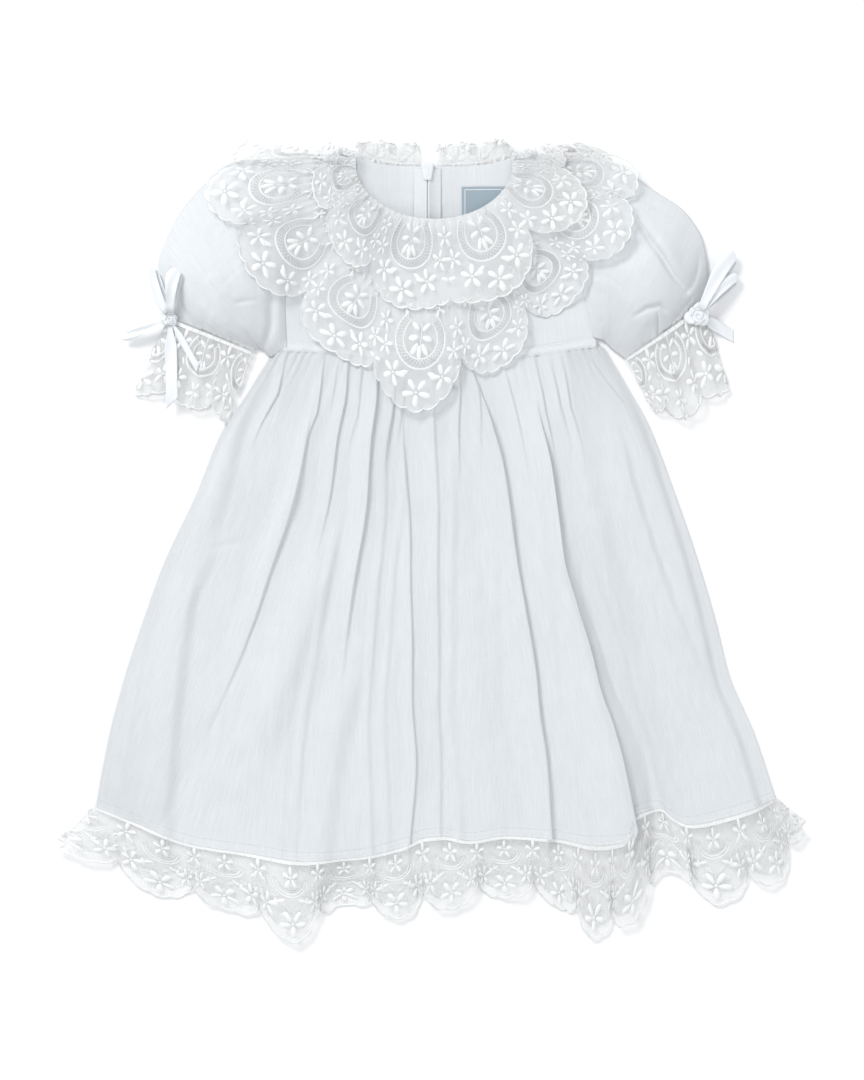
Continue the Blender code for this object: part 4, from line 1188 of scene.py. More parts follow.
SHORT_FOLDS = (
    (((0, 0.052), (0.09, 0.083)), 2.6, 9, 3, -0.1, 0.24, 1.8),
    (((0, 0.100), (0.12, 0.115)), 2.2, 3, 9, -0.1, 0.20, -1.4),
    (((0, 0.163), (0.12, 0.200)), 2.8, 10, 3, -0.1, 0.26, 2.0),
    (((0, 0.205), (0.12, 0.232)), 2.0, 8, 3, -0.1, 0.16, 1.2),
    (((0, 0.276), (0.12, 0.300)), 2.4, 9, 3, -0.1, 0.22, 1.6),
    (((0, 0.375), (0.12, 0.386)), 3.0, 10, 3, -0.1, 0.26, 2.0),
    (((0, 0.405), (0.12, 0.408)), 2.4, 8, 3, -0.1, 0.20, 1.4),
    (((0, 0.560), (0.12, 0.552)), 2.8, 10, 3, -0.1, 0.30, 1.8),
    (((0, 0.600), (0.12, 0.598)), 2.4, 9, 3, -0.1, 0.24, 1.6),
    (((0, 0.623), (0.12, 0.632)), 2.6, 3, 9, -0.1, 0.22, -1.6),
    (((0, 0.690), (0.12, 0.694)), 2.6, 12, 3, -0.1, 0.30, 1.8),
    (((0, 0.782), (0.12, 0.768)), 3.0, 10, 3, -0.1, 0.28, 2.2),
    (((0, 0.825), (0.12, 0.806)), 2.6, 9, 3, -0.1, 0.24, 1.6),
    (((0, 0.862), (0.12, 0.830)), 2.4, 8, 3, -0.1, 0.26, 1.6),
    (((0, 0.938), (0.12, 0.972)), 3.0, 3, 10, -0.1, 0.30, -1.8),
)
SOFT_FOLDS = (
    (((0, 0.10), (0.42, 0.072), (0.52, 0.064), (0.63, 0.074), (0.78, 0.088), (1, 0.098)),
     4.9, 26, 12, 0.36, 1.40, 0),
    (((0, 0.02), (0.15, 0.033), (0.25, 0.044), (0.4, 0.056), (0.5, 0.066)), 3.5, 16, 13, 0.0, 0.50, 0),
    (((0, 0.30), (0.39, 0.290), (0.52, 0.272), (0.68, 0.250), (0.8, 0.228), (1, 0.20)),
     4.6, 30, 22, 0.28, 0.98, 0),
    (((0, 0.40), (0.63, 0.372), (0.76, 0.352), (0.9, 0.335), (1, 0.326)), 4.3, 26, 18, 0.50, 1.40, 0),
    (((0, 0.160), (0.24, 0.196), (0.33, 0.186), (0.5, 0.180)), 3.0, 10, 14, 0.12, 0.50, 0),
    (((0, 0.57), (0.45, 0.585), (1, 0.590)), 2.4, 26, 20, 0.35, 1.40, 0),
    (((0, 0.769), (0.26, 0.746), (0.4, 0.745), (0.51, 0.759), (0.63, 0.776), (0.79, 0.787), (1, 0.787)),
     5.9, 6, 18, 0.30, 1.40, 0),
    (((0, 0.375), (0.16, 0.384), (0.4, 0.400), (1, 0.405)), 1.9, 8, 4, -0.05, 1.40, 0),
    (((0, 0.43), (0.45, 0.430), (1, 0.430)), 1.2, 6, 4, 0.05, 1.40, 0),
    (((0, 0.53), (0.45, 0.540), (1, 0.535)), 1.5, 6, 8, 0.10, 1.40, 0),
    (((0, 0.31), (0.45, 0.305), (1, 0.290)), 1.6, 8, 5, 0.25, 1.40, 0),
    (((0, 0.62), (0.45, 0.618), (1, 0.620)), 1.2, 10, 7, 0.30, 1.40, 0),
    (((0, 0.70), (0.35, 0.705), (1, 0.722)), 1.9, 16, 9, 0.20, 1.40, 0),
    (((0, 0.94), (0.3, 0.915), (0.5, 0.925), (0.7, 0.950), (0.86, 0.965)), 4.6, 30, 9, 0.10, 0.92, 0),
    (((0, 0.98), (0.5, 0.972), (1, 0.970)), 5.4, 44, 7, 0.05, 1.40, 0),
    (((0, 0.79), (0.51, 0.792), (0.63, 0.812), (0.79, 0.828), (1, 0.832)), -5.7, 15, 17, 0.36, 1.40, 0),
)
ALL_FOLDS = LONG_FOLDS + SHORT_FOLDS + SOFT_FOLDS
print("folds:", len(LONG_FOLDS), "long,", len(SHORT_FOLDS), "short and", len(SOFT_FOLDS), "soft")

# %% [markdown]
# The columns of the grid run along the long folds. If they ran straight down, a fold
# that slants would cross them, and its sharp edge would look like a row of steps. The
# height is then the sum of all folds, the small gathers at the waist, and the rumples.

# %% Height of the skirt's cloth
def fold_columns(c, v):
    """Share of the width of each column, drawn along the long folds to keep their edges sharp."""
    shares = np.empty_like(c)
    for row in range(c.shape[1]):
        at, share = [0.0], [0.0]
        for path, *_ in LONG_FOLDS:
            at.append(float(through(path, 0.45)))
            share.append(float(through(path, v[0, row])))
        shares[:, row] = np.interp(c[:, row], at + [1.0], share + [1.0])
    return shares


def skirt_front_points(across, v):
    """The front of the skirt: gathers at the waist running into folds."""
    x, y = skirt_outline(across, v)
    width = skirt_width(v)
    narrow = 0.45 + 0.55 * width / skirt_width(1.0)
    z = np.zeros_like(x)
    lean = np.zeros_like(x)
    for path, rise, left, right, begin, end, over in ALL_FOLDS:
        away = (across - through(path, v)) * width
        side = np.where(away < 0, left, right)
        side = side * np.where(side > 5, narrow, 1)
        near = np.clip(1 - np.abs(away) / side, 0, 1)
        soft = 0.5 - 0.5 * np.cos(math.pi * near)
        shape = np.where((side > 5) & (over != 0), 0.35 * soft + 0.65 * near**1.5, soft)
        strength = ease(v, begin, begin + 0.2)
        if end <= 1:
            strength = strength * (1 - ease(v, end - 0.6 * (end - max(begin, 0)), end))
        if end < 0.35:
            strength = 0.75 * strength
        z += rise * shape * strength
        lean += over * shape * strength * ease(v, -0.02, 0.08)
    phase = 41 * across + 0.35 * np.sin(19 * across) + 0.22 * np.sin(47 * across + 1) + 0.6 * v
    number = np.floor(phase)
    depth = 1.1 + 0.5 * np.sin(number * 2.4)
    length = 0.055 + 0.025 * np.sin(number * 1.7 + 1)
    ridge = np.abs(np.sin(math.pi * phase)) ** 0.75
    z += depth * ridge * np.exp(-((v.clip(0) / length) ** 1.3))
    loft = 1.4 * np.sin(math.pi * across.clip(0, 1)) ** 0.5 + np.exp(-v / 0.12) + 1.2 * ease(across, 0.6, 1)
    wide_rumple = rumple(x, y, 1.25, 24, 90, 3, 2.2) * ease(v, 0.02, 0.3)
    small_rumple = rumple(x, y, 0.2, 7, 16, 4, 2.2) * ease(v, 0.1, 0.3)
    z += wide_rumple + small_rumple
    dent = np.exp(-(((x + 163) / 14) ** 2) - ((y + 3 - 0.2 * (x + 163)) / 3.2) ** 2)
    z -= 0.8 * dent
    edge = ease(np.minimum(across, 1 - across), 0.0, 0.035)
    turned_up = 0.5 * ease(v, 0.984, 0.987)
    z = 1.75 + turned_up + np.maximum(z + loft, 0) * (0.12 + 0.88 * edge)
    return np.stack([x + lean * edge, y, z], axis=-1)


# %% [markdown]
# Two panels: the front with its folds, and a plain back that shows only at the edges.
# Rows stand closer together at the waist, where the gathers are small.

# %% Front and back of the skirt
ROW_CROWDING = 1.25

c, v = net_of(0, 1, 430, 180)
v = v**ROW_CROWDING
skirt_grid = skirt_front_points(fold_columns(c, v), v)
skirt_flat = np.stack([c * 560, v * 402], axis=-1)
skirt_front = make_cloth("skirt_front_linen", skirt_grid, linen, flat=skirt_flat)
settle_in(skirt_front, "linen", "skirt_front")
c, v = net_of(0, 1, 90, 70)
x, y = skirt_outline(c, v)
back_grid = np.stack([x, y, 0.45 + 0.3 * (1 + rumple(x, y, 1.0, 25, 80, 11))], axis=-1)
skirt_back = make_cloth("skirt_back_linen", back_grid, linen, thick=LINEN_THICK)
settle_in(skirt_back, "linen", "skirt_back")

# %% [markdown]
# ## Hem lace
#
# The flounce is about half as long again as the hem, so it lies in flutes that
# overlap. Each flute is drawn as the lace going forward, back under itself, and
# forward again: the page place is shifted by a sine, and the height changes by a
# few millimetres while the lace runs back. Wavy lace alone would never overlap.

# %% Flutes that fold over each other
# share of the hem where the middle of each scallop is sewn on, then X and Y of its tip
HEM_LOBES = (
    (0.000, -299, -247), (0.100, -218, -284), (0.190, -166, -294), (0.285, -110, -321), (0.365, -70, -291),
    (0.440, -28, -302), (0.520, 16, -294), (0.600, 58, -285), (0.680, 102, -294), (0.735, 129, -318),
    (0.782, 161, -304), (0.832, 189, -264), (0.905, 228, -291), (0.970, 280, -271), (1.000, 298, -232),
)


def overlap_levels(tops):
    """Which side lies on top at each dip between scallops, as a height along the strip."""
    rows = [(-0.5, 0.5)]
    for number, left_on_top in enumerate(tops):
        rows += [(number + 0.5 - 0.14, float(left_on_top)), (number + 0.5 + 0.14, float(not left_on_top))]
    return tuple(rows + [(len(tops) + 0.5, 0.5)])


def folded(s, t, amounts):
    """Place along the page once the lace has folded back on itself at each dip."""
    amount = through(numbered([(a,) for a in amounts]), s)
    return s + amount * ease(t, 0.05, 0.75) * np.sin(2 * math.pi * s) / (2 * math.pi)


# how far the lace folds back on itself at each scallop
HEM_FOLDS = (0.2, 0.4, 0.5, 0.6, 0.8, 0.6, 0.4, 0.5, 0.4, 0.9, 1.1, 1.3, 0.9, 0.3, 0.1)
HEM_COUNT = len(HEM_LOBES) - 1
hem_levels = overlap_levels((1, 0, 0, 1, 0, 0, 1, 1, 0, 0, 1, 1, 0, 0))
c = np.linspace(0, 1, 400)
hem_edge = skirt_front_points(c, np.ones_like(c))
hem_plan = skirt_outline(c, np.ones_like(c))


def hem_surface(drop, lift, from_back):
    """Lace that hangs from the skirt's lower edge."""
    rows = numbered(HEM_LOBES)

    def surface(s, t):
        page = folded(s, t, HEM_FOLDS)
        x0 = hem_plan[0][0] + (hem_plan[0][-1] - hem_plan[0][0]) * through(rows, page, 1)
        y0 = np.interp(x0, hem_plan[0], hem_plan[1]) + 3.2
        x = x0 + (through(rows, page, 2) - x0) * t
        y = y0 + (through(rows, page, 3) + drop - y0) * t
        flutes = 0.5 - 0.5 * np.cos(2 * math.pi * (1.5 * s + 0.3 * np.sin(2.3 * s)))
        gathers = 0.5 - 0.5 * np.cos(2 * math.pi * (9 * s + 0.3 * np.sin(5.1 * s)))
        z = lift + 0.5 * gathers * np.exp(-t / 0.12)
        if not from_back:
            seam = np.interp(x0, hem_plan[0], hem_edge[:, 2])
            z = z + (seam - lift + 0.4) * (1 - ease(t, 0.06, 0.8))
            z = z + 1.8 * flutes * np.sin(math.pi * t.clip(0, 1)) ** 0.8
            z = z + (4.4 * through(hem_levels, s) + 0.8 * np.sin(9 * s)) * ease(t, 0.06, 0.7)
        return np.stack([x, y, z], axis=-1)

    return surface


make_lace("hem_lace_back", hem_surface(9.0, 0.35, True), 0, HEM_COUNT, HEM_SCALLOP, 58,
          ["hem_lace_back"], teeth=5, rows=16, heading=True)
make_lace("hem_lace_front", hem_surface(0.0, 1.5, False), 0, HEM_COUNT, HEM_SCALLOP, 58,
          ["hem_lace_front"],
          teeth=5, rows=26, heading=True)
lay(skirt_grid)

# %% [markdown]
# ## Waistband
#
# A narrow band covers the gathers. It goes all the way round, so it is a flat tube:
# its upper half follows the cloth in front, and its lower half lies on the table.

# %% Narrow band at the waist
BAND_TOP = 140


def waistband_grid():
    """Rings of the band: over the front and back under the dress."""
    u = np.concatenate([np.linspace(0, 1, BAND_TOP), np.linspace(1, 0, 60)])
    top = np.arange(len(u)) < BAND_TOP
    rings = []
    for q in np.linspace(0, 1, 7):
        x = -119 + 250.5 * u
        y = waist_top(x, -1.6 + 7.8 * q)
        crown = 0.7 * math.sin(math.pi * q) ** 0.5
        pucker = 0.25 * np.sin(1.6 * x) * math.sin(math.pi * q)
        below = height_at(laid, x, waist_top(x, -3.0)) + 0.1
        above = np.interp(x, front[:, 0, 0], front[:, 0, 2]) + 0.3
        level = below * (1 - q) + above * q + crown + pucker
        rings.append(np.stack([x, y, np.where(top, level, 0.3)], axis=-1))
    return np.array(rings)


band_grid = waistband_grid()
band = settle_in(make_cloth("waistband_linen", band_grid, linen, closed=True), "linen", "waistband")
lay(band_grid[:, :BAND_TOP])
lay(front)

# %% [markdown]
# ## Sleeves
#
# Short puff sleeves: gathered at the armhole, full in the middle, gathered again at
# the cuff. Each is a tube that lies on its back. A tube's section is a row of places
# up the opening; seven sections from armhole to cuff give the shape, and creases
# are pressed in where the cloth has slumped.

# %% Sleeve tables
# the lower and the upper place of each section on the page, and how high it puffs
LEFT_SLEEVE = (
    (-119, 156, -114.5, 305, 5), (-124, 149, -153, 304, 13), (-129, 147, -184, 283, 18),
    (-134, 151, -208, 250, 20), (-138, 154, -219, 218, 18), (-141, 154, -218, 197, 13),
    (-142, 152, -211, 180, 7),
)
RIGHT_SLEEVE = (
    (133.5, 163, 112.5, 304, 5), (137, 160, 144, 302, 14), (140, 157, 176, 281, 20),
    (144, 153, 203, 262, 22), (148, 150, 217, 237, 19), (151, 148, 220, 213, 13),
    (154, 146, 217, 191, 7),
)
# a line of places along each crease, its depth and half width, and how high the cloth
# stands beside it, to the left of the line
LEFT_CREASES = (
    (((-127.5, 206), (-128, 186), (-128, 172), (-132, 158), (-136, 149)), 5, 3.2, 2.2),
    (((-211, 238), (-207, 207), (-197, 184), (-187, 168)), 3.0, 2.0, 2.0),
    (((-192, 264), (-150, 212)), 2.2, 12, 1.0),
    (((-190, 207), (-168, 172)), 2.2, 5, 1.0),
    (((-172, 202), (-146, 172)), 2, 6, 1.0),
    (((-158, 189), (-138, 192)), 1.3, 1.7, 0.5),
    (((-150, 240), (-130, 234)), 2, 6, 0),
)
RIGHT_CREASES = (
    (((158, 262), (167, 249), (174, 238), (182, 227), (192, 211), (203, 199)), 6.2, 2.3, 2.8),
    (((175, 240), (158, 229), (146, 220)), 4.5, 6.5, 1.2),
    (((188, 181), (181, 187), (171, 185), (160, 178)), 3.2, 2.0, 1.4),
    (((179, 184), (180, 160)), 2.2, 1.2, 0.9),
    (((201, 197), (208, 205), (212, 217), (214, 229)), 2.6, 1.9, 1.4),
    (((189, 172), (199, 185), (210, 196)), 2.0, 1.8, 1.2),
    (((168, 272), (182, 263), (194, 257), (205, 252)), 2.6, 1.7, 1.4),
    (((127, 171), (134, 157)), 3, 3, 1.0),
)
print("creases:", len(LEFT_CREASES), "left and", len(RIGHT_CREASES), "right")

# %% [markdown]
# A crease is a line of places on the page. The cloth goes down along it and stands up
# a little beside it, which is what the eye reads as a crease and not as a scratch.

# %% Creases and the sleeve's plan
def crease_depth(rows, x, y):
    """How far creases press the cloth in at a place on the page."""
    deep = np.zeros_like(x)
    for line, depth, half, ridge in rows:
        line = np.array(line, float)
        steps = np.diff(line, axis=0)
        runs = np.linalg.norm(steps, axis=1)
        nearest = np.full_like(x, 1e9)
        signed, share = np.zeros_like(x), np.zeros_like(x)
        for k, (start, step, run) in enumerate(zip(line, steps, runs)):
            dx, dy = x - start[0], y - start[1]
            along = np.clip((dx * step[0] + dy * step[1]) / run**2, 0, 1)
            away = np.hypot(dx - step[0] * along, dy - step[1] * along)
            side = np.where(step[0] * dy - step[1] * dx > 0, 1, -1)
            closer = away < nearest
            nearest = np.where(closer, away, nearest)
            signed = np.where(closer, away * side, signed)
            share = np.where(closer, (runs[:k].sum() + along * run) / runs.sum(), share)
        fade = np.sin(math.pi * np.clip(share, 0.03, 0.97)) ** 0.7
        press = depth * np.exp(-((signed / half) ** 2))
        stand = ridge * np.exp(-(((signed - 2 * half - 3) / (1.5 * half + 3)) ** 2))
        deep += fade * (press - stand)
    return deep


def sleeve_plan(rows, armhole, u, q):
    """Place on the page: u runs up the opening and q from armhole to cuff."""
    table = numbered(rows)
    at = q * (len(rows) - 1)
    x0, y0, x1, y1 = (through(table, at, k) for k in (1, 2, 3, 4))
    y = y0 + (y1 - y0) * u
    x = x0 + (x1 - x0) * u
    out = np.where(x0 > 0, 1, -1)
    seam = through(armhole, y) - 2.0 * out
    return x + (seam - x) * (1 - ease(at, 0, 1)), y


# %% [markdown]
# Rings round the opening, one after another from the armhole to the cuff, make the
# tube. Its upper side is domed and gathered at both ends, and its underside is flat on
# the table. At the armhole it starts on the bodice, so no gap opens in the seam.

# %% Sleeve tubes
SLEEVE_TOP = 110


def sleeve_grid(rows, creases, armhole, seed):
    """Rings of the sleeve, over the top and back underneath."""
    u = np.concatenate([np.linspace(0, 1, SLEEVE_TOP), np.linspace(1, 0, 40)[1:-1]])
    top = np.arange(len(u)) < SLEEVE_TOP
    q = np.linspace(0, 1, 100)
    uu, qq = np.meshgrid(u, q)
    x, y = sleeve_plan(rows, armhole, uu, qq)
    puff = through(numbered(rows), qq * (len(rows) - 1), 5)
    round_over = np.sin(math.pi * np.clip(uu, 0, 1))
    phase = 15 * uu + 0.5 * np.sin(9 * uu + 0.7) + 0.3 * qq
    near_seam = 1.5 * np.exp(-qq / (0.16 + 0.07 * np.sin(3 * phase)))
    near_cuff = 0.9 * np.exp(-(1 - qq) / (0.10 + 0.05 * np.sin(2.3 * phase)))
    gathers = (np.abs(np.sin(math.pi * phase)) ** 0.8 - 0.5) * (near_seam + near_cuff)
    soft = rumple(x, y, 1.3, 26, 60, seed, 1.2) + rumple(x, y, 0.15, 6, 13, seed + 1, 1.2)
    height = puff * round_over**0.95 + (gathers + soft) * round_over
    height = height - crease_depth(creases, x, y) * round_over**0.5
    out = np.sign(x.mean())
    bodice = height_at(laid, through(armhole, y) - 5 * out, y) + 0.4
    free = ease(qq, 0, 0.13)
    z = np.where(top[None, :], bodice * (1 - free) + (3.4 + np.maximum(height, 0)) * free, 0.45)
    return np.stack([x, y, z], axis=-1)


for side, rows, creases, armhole, seed in (("left", LEFT_SLEEVE, LEFT_CREASES, LEFT_ARMHOLE, 21),
                                           ("right", RIGHT_SLEEVE, RIGHT_CREASES, RIGHT_ARMHOLE, 31)):
    grid = sleeve_grid(rows, creases, armhole, seed)
    sleeve = make_cloth("sleeve_" + side + "_linen", grid, linen, closed=True, thick=LINEN_THICK)
    settle_in(sleeve, "linen", "sleeve_" + side)
    lay(grid[:, :SLEEVE_TOP])

# %% [markdown]
# ## Cuff lace
#
# The same lace, gathered round each cuff and open like the sleeve: the strip
# runs over the top of the opening and back underneath it. So the place along the
# strip, counted in scallops, goes up the opening for two scallops and down for two.

# %% Lace round the cuffs
FRILL_TUCK = 1.0
# three places on the lace's free edge
LEFT_FRILL = ((-165, 94), (-194, 106), (-238, 117))
RIGHT_FRILL = ((175, 106), (202, 98), (238, 122))


def cuff_surface(rows, frill):
    """Two scallops over the top of the cuff and two below it."""
    x0, y0, x1, y1, _ = rows[-1]
    (xa, ya), (xb, yb), (xc, yc) = frill
    out_x, out_y = y0 - y1, x1 - x0
    turn = -1 if out_y * (yb - y0) + out_x * (xb - x0) < 0 else 1
    size = math.hypot(out_x, out_y)

    def surface(s, t):
        loop = np.mod(s, 4)
        u = np.where(loop < 2, loop, 4 - loop) / 2
        u = u + 0.018 * np.sin(2 * math.pi * 5 * u) * ease(t, 0.1, 0.7)
        far_x = xa * (1 - u) ** 2 + (2 * xb - (xa + xc) / 2) * 2 * u * (1 - u) + xc * u**2
        far_y = ya * (1 - u) ** 2 + (2 * yb - (ya + yc) / 2) * 2 * u * (1 - u) + yc * u**2
        near_x = x0 + (x1 - x0) * u - turn * out_x / size * FRILL_TUCK
        near_y = y0 + (y1 - y0) * u - turn * out_y / size * FRILL_TUCK
        x = near_x + (far_x - near_x) * t
        y = near_y + (far_y - near_y) * t
        round_over = np.abs(np.sin(math.pi * np.clip(loop, 0, 4) / 2))
        waves = 1 - np.cos(2 * math.pi * 5 * u + 1.2)
        gathers = (1 - np.cos(2 * math.pi * 12 * u)) * np.exp(-t.clip(0) / 0.12)
        top = 3.2 + round_over**0.6 * (6.5 - 2.5 * t + 2.0 * waves * (0.2 + 0.8 * t) + 0.8 * gathers)
        low = 0.35 + 0.25 * waves * round_over
        z = np.where(loop < 2, top, low)
        return np.stack([x, y, z], axis=-1)

    return surface


for side, rows, frill in (("left", LEFT_SLEEVE, LEFT_FRILL), ("right", RIGHT_SLEEVE, RIGHT_FRILL)):
    name = "cuff_lace_" + side
    strip = make_lace(name, cuff_surface(rows, frill), 0.0, 3.999, CUFF_SCALLOP, 58, [name],
                      teeth=5, rows=26, bite=(0.14, 0.14), heading=True)
    lay(strip[: strip.shape[0] // 2])

# %% [markdown]
# ## The collar
#
# Two tiers of the same lace, each sewn down along its straight edge. The lower tier
# fans out from a seam on the bodice, the upper one from the neck. At each dip
# between scallops the lace folds over its neighbour, one way or the other. Angles
# and distances from the neck's middle suit it better than X and Y.

# %% Tables of the two tiers
# angle of each scallop round the neck, and how far its tip and its seam lie from the
# neck's middle
LOWER_LOBES = (
    (172.0, 150, 88), (187.4, 184, 92), (210.2, 171, 95), (239.7, 170, 101), (265.5, 198, 109),
    (290.4, 169, 105), (314.6, 155, 98), (339.5, 166, 94), (357.5, 163, 92), (369.0, 118, 88),
)
# the upper tier is sewn to the neckline, so it needs no distance for its seam
UPPER_LOBES = (
    (168.0, 88), (189.0, 98), (222.0, 104), (256.0, 117), (299.0, 119), (344.0, 126), (371.0, 96),
)
# depth of the dips between scallops, as a share of the tier's width
LOWER_DIPS = (0.20, 0.24, 0.34, 0.22, 0.36, 0.42, 0.28, 0.18, 0.20)
UPPER_DIPS = (0.24, 0.28, 0.30, 0.12, 0.46, 0.25)


def ring_point(angle, reach_x, reach_y):
    """A point round the neck, at an angle in degrees."""
    turn = np.radians(angle)
    return NECK_CENTRE[0] + reach_x * np.cos(turn), NECK_CENTRE[1] + reach_y * np.sin(turn)


def collar_surface(lobes, seam, tops, folds, rise, floor, neck_rise=0.0):
    """A tier that fans out round the neck and lies on what is below it."""
    rows = numbered(lobes)
    levels = overlap_levels(tops)

    def surface(s, t):
        page = folded(s, t, folds)
        angle = through(rows, page, 1)
        reach = through(rows, page, 2)
        start = ring_point(angle, *(seam or (through(rows, page, 3),) * 2))
        tip = ring_point(angle, reach, reach)
        x = start[0] + (tip[0] - start[0]) * t
        y = start[1] + (tip[1] - start[1]) * t
        gathers = 0.5 - 0.5 * np.cos(2 * math.pi * (7 * s + 0.3 * np.sin(4.3 * s)))
        flutes = 0.5 - 0.5 * np.cos(2 * math.pi * (2 * s + 0.5 + 0.25 * np.sin(2.1 * s)))
        stand = neck_rise * (1.35 - 0.35 * np.cos(np.radians(angle)))
        z = height_at(floor, x, y) + 0.6 + stand * np.exp(-t.clip(0) / 0.3)
        z = z + 1.5 * gathers * np.exp(-t.clip(0) / 0.22) + 1.6 * flutes * np.sin(math.pi * t.clip(0, 1))
        z = z + rise * through(levels, s) * ease(t, 0.0, 0.8)
        return np.stack([x, y, z], axis=-1)

    return surface


# %% [markdown]
# The lower tier is laid first and recorded on the pile, so that the upper one rests on
# it. The upper tier stands up a little at the neck, as a gathered edge does.

# %% Lower tier, then upper tier
# how far each scallop folds back on itself
LOWER_FOLDS = (0.6, 0.55, 0.35, 0.3, 0.12, 0.3, 0.4, 0.5, 0.9, 0.9)
UPPER_FOLDS = (0.8, 0.7, 0.35, 0.2, 0.05, 0.1, 0.6)
lower = collar_surface(LOWER_LOBES, None, (1, 1, 0, 0, 1, 1, 0, 1, 1), LOWER_FOLDS, 4.5, softened(4))
lower_strip = make_lace("collar_lower", lower, 0.0, 9.0, COLLAR_SCALLOP, 84, ["collar_lower"],
                        bite=LOWER_DIPS)
lay(lower_strip)
upper = collar_surface(UPPER_LOBES, (NECK_HALF_WIDTH, NECK_FRONT_DROP), (1, 0, 1, 0, 1, 1),
                       UPPER_FOLDS, 4.0, softened(4), neck_rise=5.0)
upper_strip = make_lace("collar_upper", upper, 0.0, 6.0, COLLAR_SCALLOP, 74, ["collar_upper"],
                        rows=34, bite=UPPER_DIPS)
lay(upper_strip)

# %% [markdown]
# ## Bows
#
# A ribbon bow sits on the outer side of each cuff: loops, cut ends, and a small
# rose that hides the knot. Tying a ribbon by simulation is slow and hard to steer, so
# a loop is one strip that leaves the rose and comes back over itself.

# %% Ribbon tables
# side, place and size
ROSES = (("left", (-209, 177), 1.25), ("right", (212, 180), 2.0))
ROSE_EDGE = 5.0
RIBBON_THICK = 0.25
# name, side, tip, width, rise and how far the loop opens
LOOPS = (
    ("ribbon_loop_left_upper", "left", (-227, 218), 12, 5, 3.5),
    ("ribbon_loop_left_inner", "left", (-204, 217), 12, 5, 3),
    ("ribbon_loop_left_outer", "left", (-248, 161), 6.5, 4, 2),
    ("ribbon_loop_right_upper", "right", (240, 232), 14, 5, 3),
    ("ribbon_loop_right_lower", "right", (243, 213), 10, 5, 3),
)
# name, side, tip and width
TAILS = (
    ("ribbon_tail_left_long", "left", (-207, 105), 9.5),
    ("ribbon_tail_left_short", "left", (-185, 135), 5),
    ("ribbon_tail_right", "right", (243, 163), 9),
)


def ribbon_place(rose, tip, out, across):
    """Place on the page along a ribbon that starts at its rose, and across it."""
    run = math.hypot(tip[0] - rose[0], tip[1] - rose[1])
    ux, uy = (tip[0] - rose[0]) / run, (tip[1] - rose[1]) / run
    d = ROSE_EDGE + (run - ROSE_EDGE) * out
    return rose[0] + ux * d - uy * across, rose[1] + uy * d + ux * across


print("ribbon pieces:", len(LOOPS), "loops,", len(TAILS), "ends and", len(ROSES), "roses")

# %% [markdown]
# A loop and an end are both a strip of satin, so they share the function that makes the
# cloth. A loop is crumpled along its middle and its two edges curl up; an end is cut on
# the slant.

# %% Loops and ends
pile_top = softened(2)


def make_ribbon(name, grid):
    """A strip of satin that moves with the dress and stands for its CAD node."""
    made = settle_in(make_cloth(name + "_satin", grid, satin, thick=RIBBON_THICK), "ribbon", name)


def make_loop(name, rose, level, tip, width, height, opening):
    """A loop of ribbon, crumpled a little along its middle."""
    p, w = net_of(0, 1, 56, 12)
    out = np.sin(math.pi * p) ** 0.7
    across = width * (w - 0.5) * (0.4 + 0.6 * np.sin(math.pi * p) ** 0.7) + opening * (2 * p - 1) * out
    x, y = ribbon_place(rose, tip, out * (1 - 0.13 * (2 * w - 1) ** 2), across)
    low = np.maximum(height_at(pile_top, x, y) + 0.5, level * (1 - 0.5 * out))
    low = low.max(axis=1, keepdims=True)
    rise = height * (0.5 - 0.5 * np.cos(math.pi * p))
    groove = 1.1 * np.sin(2 * math.pi * w + 5 * out) * np.sin(math.pi * p)
    curl = 1.6 * (2 * w - 1) ** 2 * out
    z = (low + low[::-1]) / 2 + rise + groove + curl
    make_ribbon(name, np.stack([x, y, z], axis=-1))


def make_tail(name, rose, level, tip, width):
    """A loose end, cut on the slant."""
    p, w = net_of(0, 1, 40, 10)
    across = width * (w - 0.5) * (0.35 + 0.65 * ease(p, 0, 0.3))
    x, y = ribbon_place(rose, tip, p * (1 - 0.14 * w), across)
    low = np.maximum(height_at(pile_top, x, y) + 0.5, level * (1 - ease(p, 0, 0.3)))
    low = low.max(axis=1, keepdims=True)
    z = low + 0.8 * (2 * w - 1) ** 2 + 0.6 * np.sin(9 * p + 2 * w)
    make_ribbon(name, np.stack([x, y, z], axis=-1))


# %% [markdown]
# The rose is ribbon rolled on itself. Its heart is a spiral strip, and round it stand
# short curved strips, each turned a sixth of the way round from the last. At this size
# that reads as a rolled rose better than one long strip would.

# %% Ribbon roses, and both bows put together
ROSE_PETALS = 6


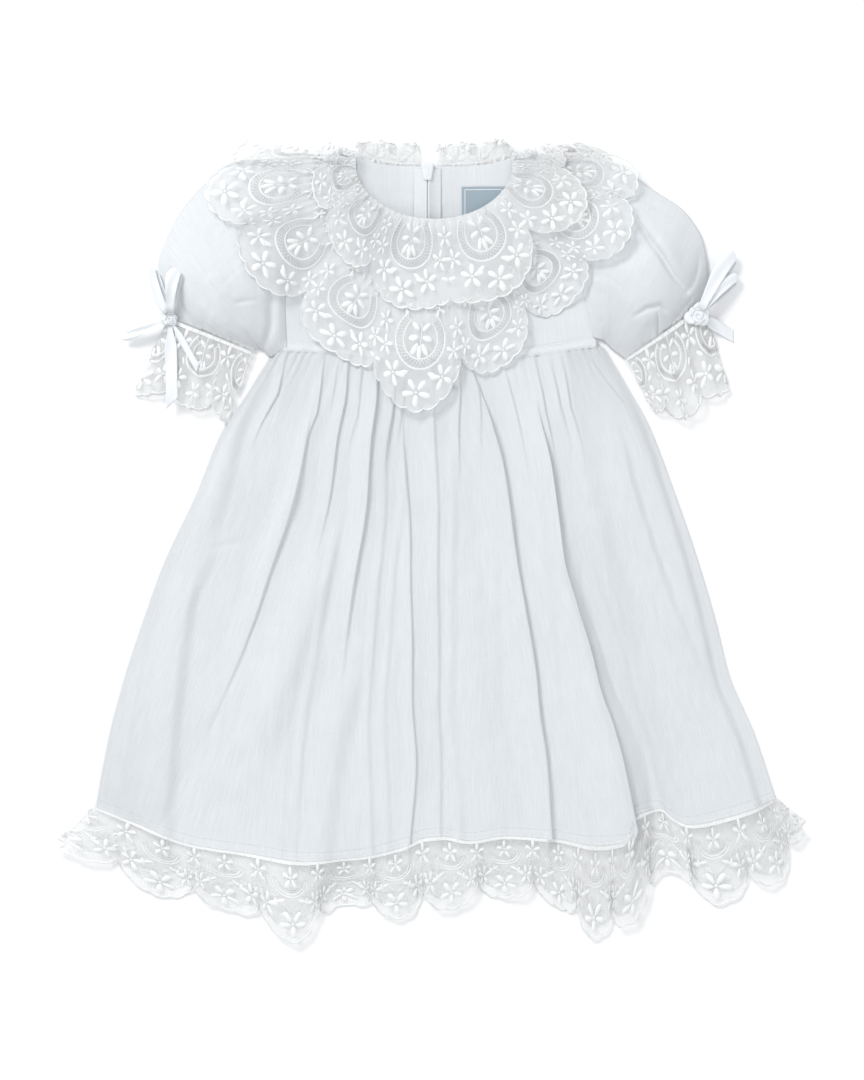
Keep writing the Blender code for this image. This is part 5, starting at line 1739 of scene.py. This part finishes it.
def make_rose(name, centre, base, size):
    """A ribbon rolled on itself in the middle, with six loose petals round it."""
    pieces = []

    def add_petal(part, radius, angle, lift, thick):
        x = centre[0] + size * radius * np.cos(angle)
        y = centre[1] + size * radius * np.sin(angle)
        pieces.append(make_cloth(part, np.stack([x, y, base + lift], axis=-1), satin, thick=thick))

    turn, w = net_of(0, 1, 60, 5)
    angle = 2 * math.pi * 2.2 * turn
    lift = 3.0 + 2.4 * w - 0.8 * turn + 0.3 * np.sin(5 * angle)
    add_petal("roll", 0.3 + 2.6 * turn + 0.5 * w * turn, angle, lift, RIBBON_THICK)
    add_petal("heart", 3.6 * w, 2 * math.pi * turn, 3.9 - 1.2 * w**2, 0)
    for k in range(ROSE_PETALS):
        c, w = net_of(-1, 1, 14, 8)
        radius = 2.4 + (2.6 + 0.9 * math.sin(2.6 * k)) * w * (1 - 0.55 * np.abs(c) ** 1.5)
        lift = 2.4 + 1.6 * np.sin(0.75 * math.pi * w) - 1.6 * w**3 + (1.1 + 0.5 * math.sin(3 * k)) * c
        angle = 2 * math.pi * k / ROSE_PETALS + 0.3 + 0.8 * c
        add_petal("petal", radius, angle, lift + 0.5 * np.sin(5 * c + k) * w, RIBBON_THICK)
    made = settle_in(joined(name + "_satin", pieces), "ribbon", name)


for side, rose, size in ROSES:
    base = float(height_at(pile_top, *rose)) + 0.3
    make_rose("rosette_" + side, rose, base, size)
    for name, at, tip, width, height, opening in LOOPS:
        if at == side:
            make_loop(name, rose, base, tip, width, height, opening)
    for name, at, tip, width in TAILS:
        if at == side:
            make_tail(name, rose, base + 0.4, tip, width)

# %% [markdown]
# ## Stitching
#
# Rows of small stitches hold the seams. An array along a curve could repeat one
# stitch, but here each bead is placed by its distance along the seam, and all rows
# are one mesh, which is light and easy to handle.

# %% Rows of stitches along seams
def stitch_row(lines, pitch=2.6, length=2.0, size=0.5):
    """Short raised beads along lines of points."""
    points, faces = [], []
    for line in lines:
        step = np.linalg.norm(np.diff(line, axis=0), axis=1)
        far = np.concatenate([[0], np.cumsum(step)])
        for start in np.arange(0.5, far[-1] - pitch, pitch):
            a = np.array([np.interp(start, far, line[:, k]) for k in range(3)])
            b = np.array([np.interp(start + length, far, line[:, k]) for k in range(3)])
            way = (b - a) / np.linalg.norm(b - a)
            side = np.cross(way, (0, 0, 1))
            side = side / max(np.linalg.norm(side), 1e-6) * size / 2
            up = np.array([0, 0, size * 0.6])
            middle = (a + b) / 2
            first = len(points)
            points += [a, middle + side, b, middle - side, middle + up, middle - up * 0.5]
            for j in range(4):
                k = (j + 1) % 4
                faces += [(first + j, first + k, first + 4), (first + k, first + j, first + 5)]
    return np.array(points), faces


hem_row = skirt_grid[:, -4] + np.array([0, 0, 0.15])
waist_low = band_grid[1, :BAND_TOP] + np.array([0, 0, 0.1])
waist_high = band_grid[5, :BAND_TOP] + np.array([0, 0, 0.1])
points, faces = stitch_row([hem_row, waist_low, waist_high])
stitches = settle_in(make_mesh("seam_stitches", points, faces, points[:, :2], sewing), "linen")
print("stitches:", len(points) // 6)

# %% Bring the scene up to date
bpy.context.view_layer.update()
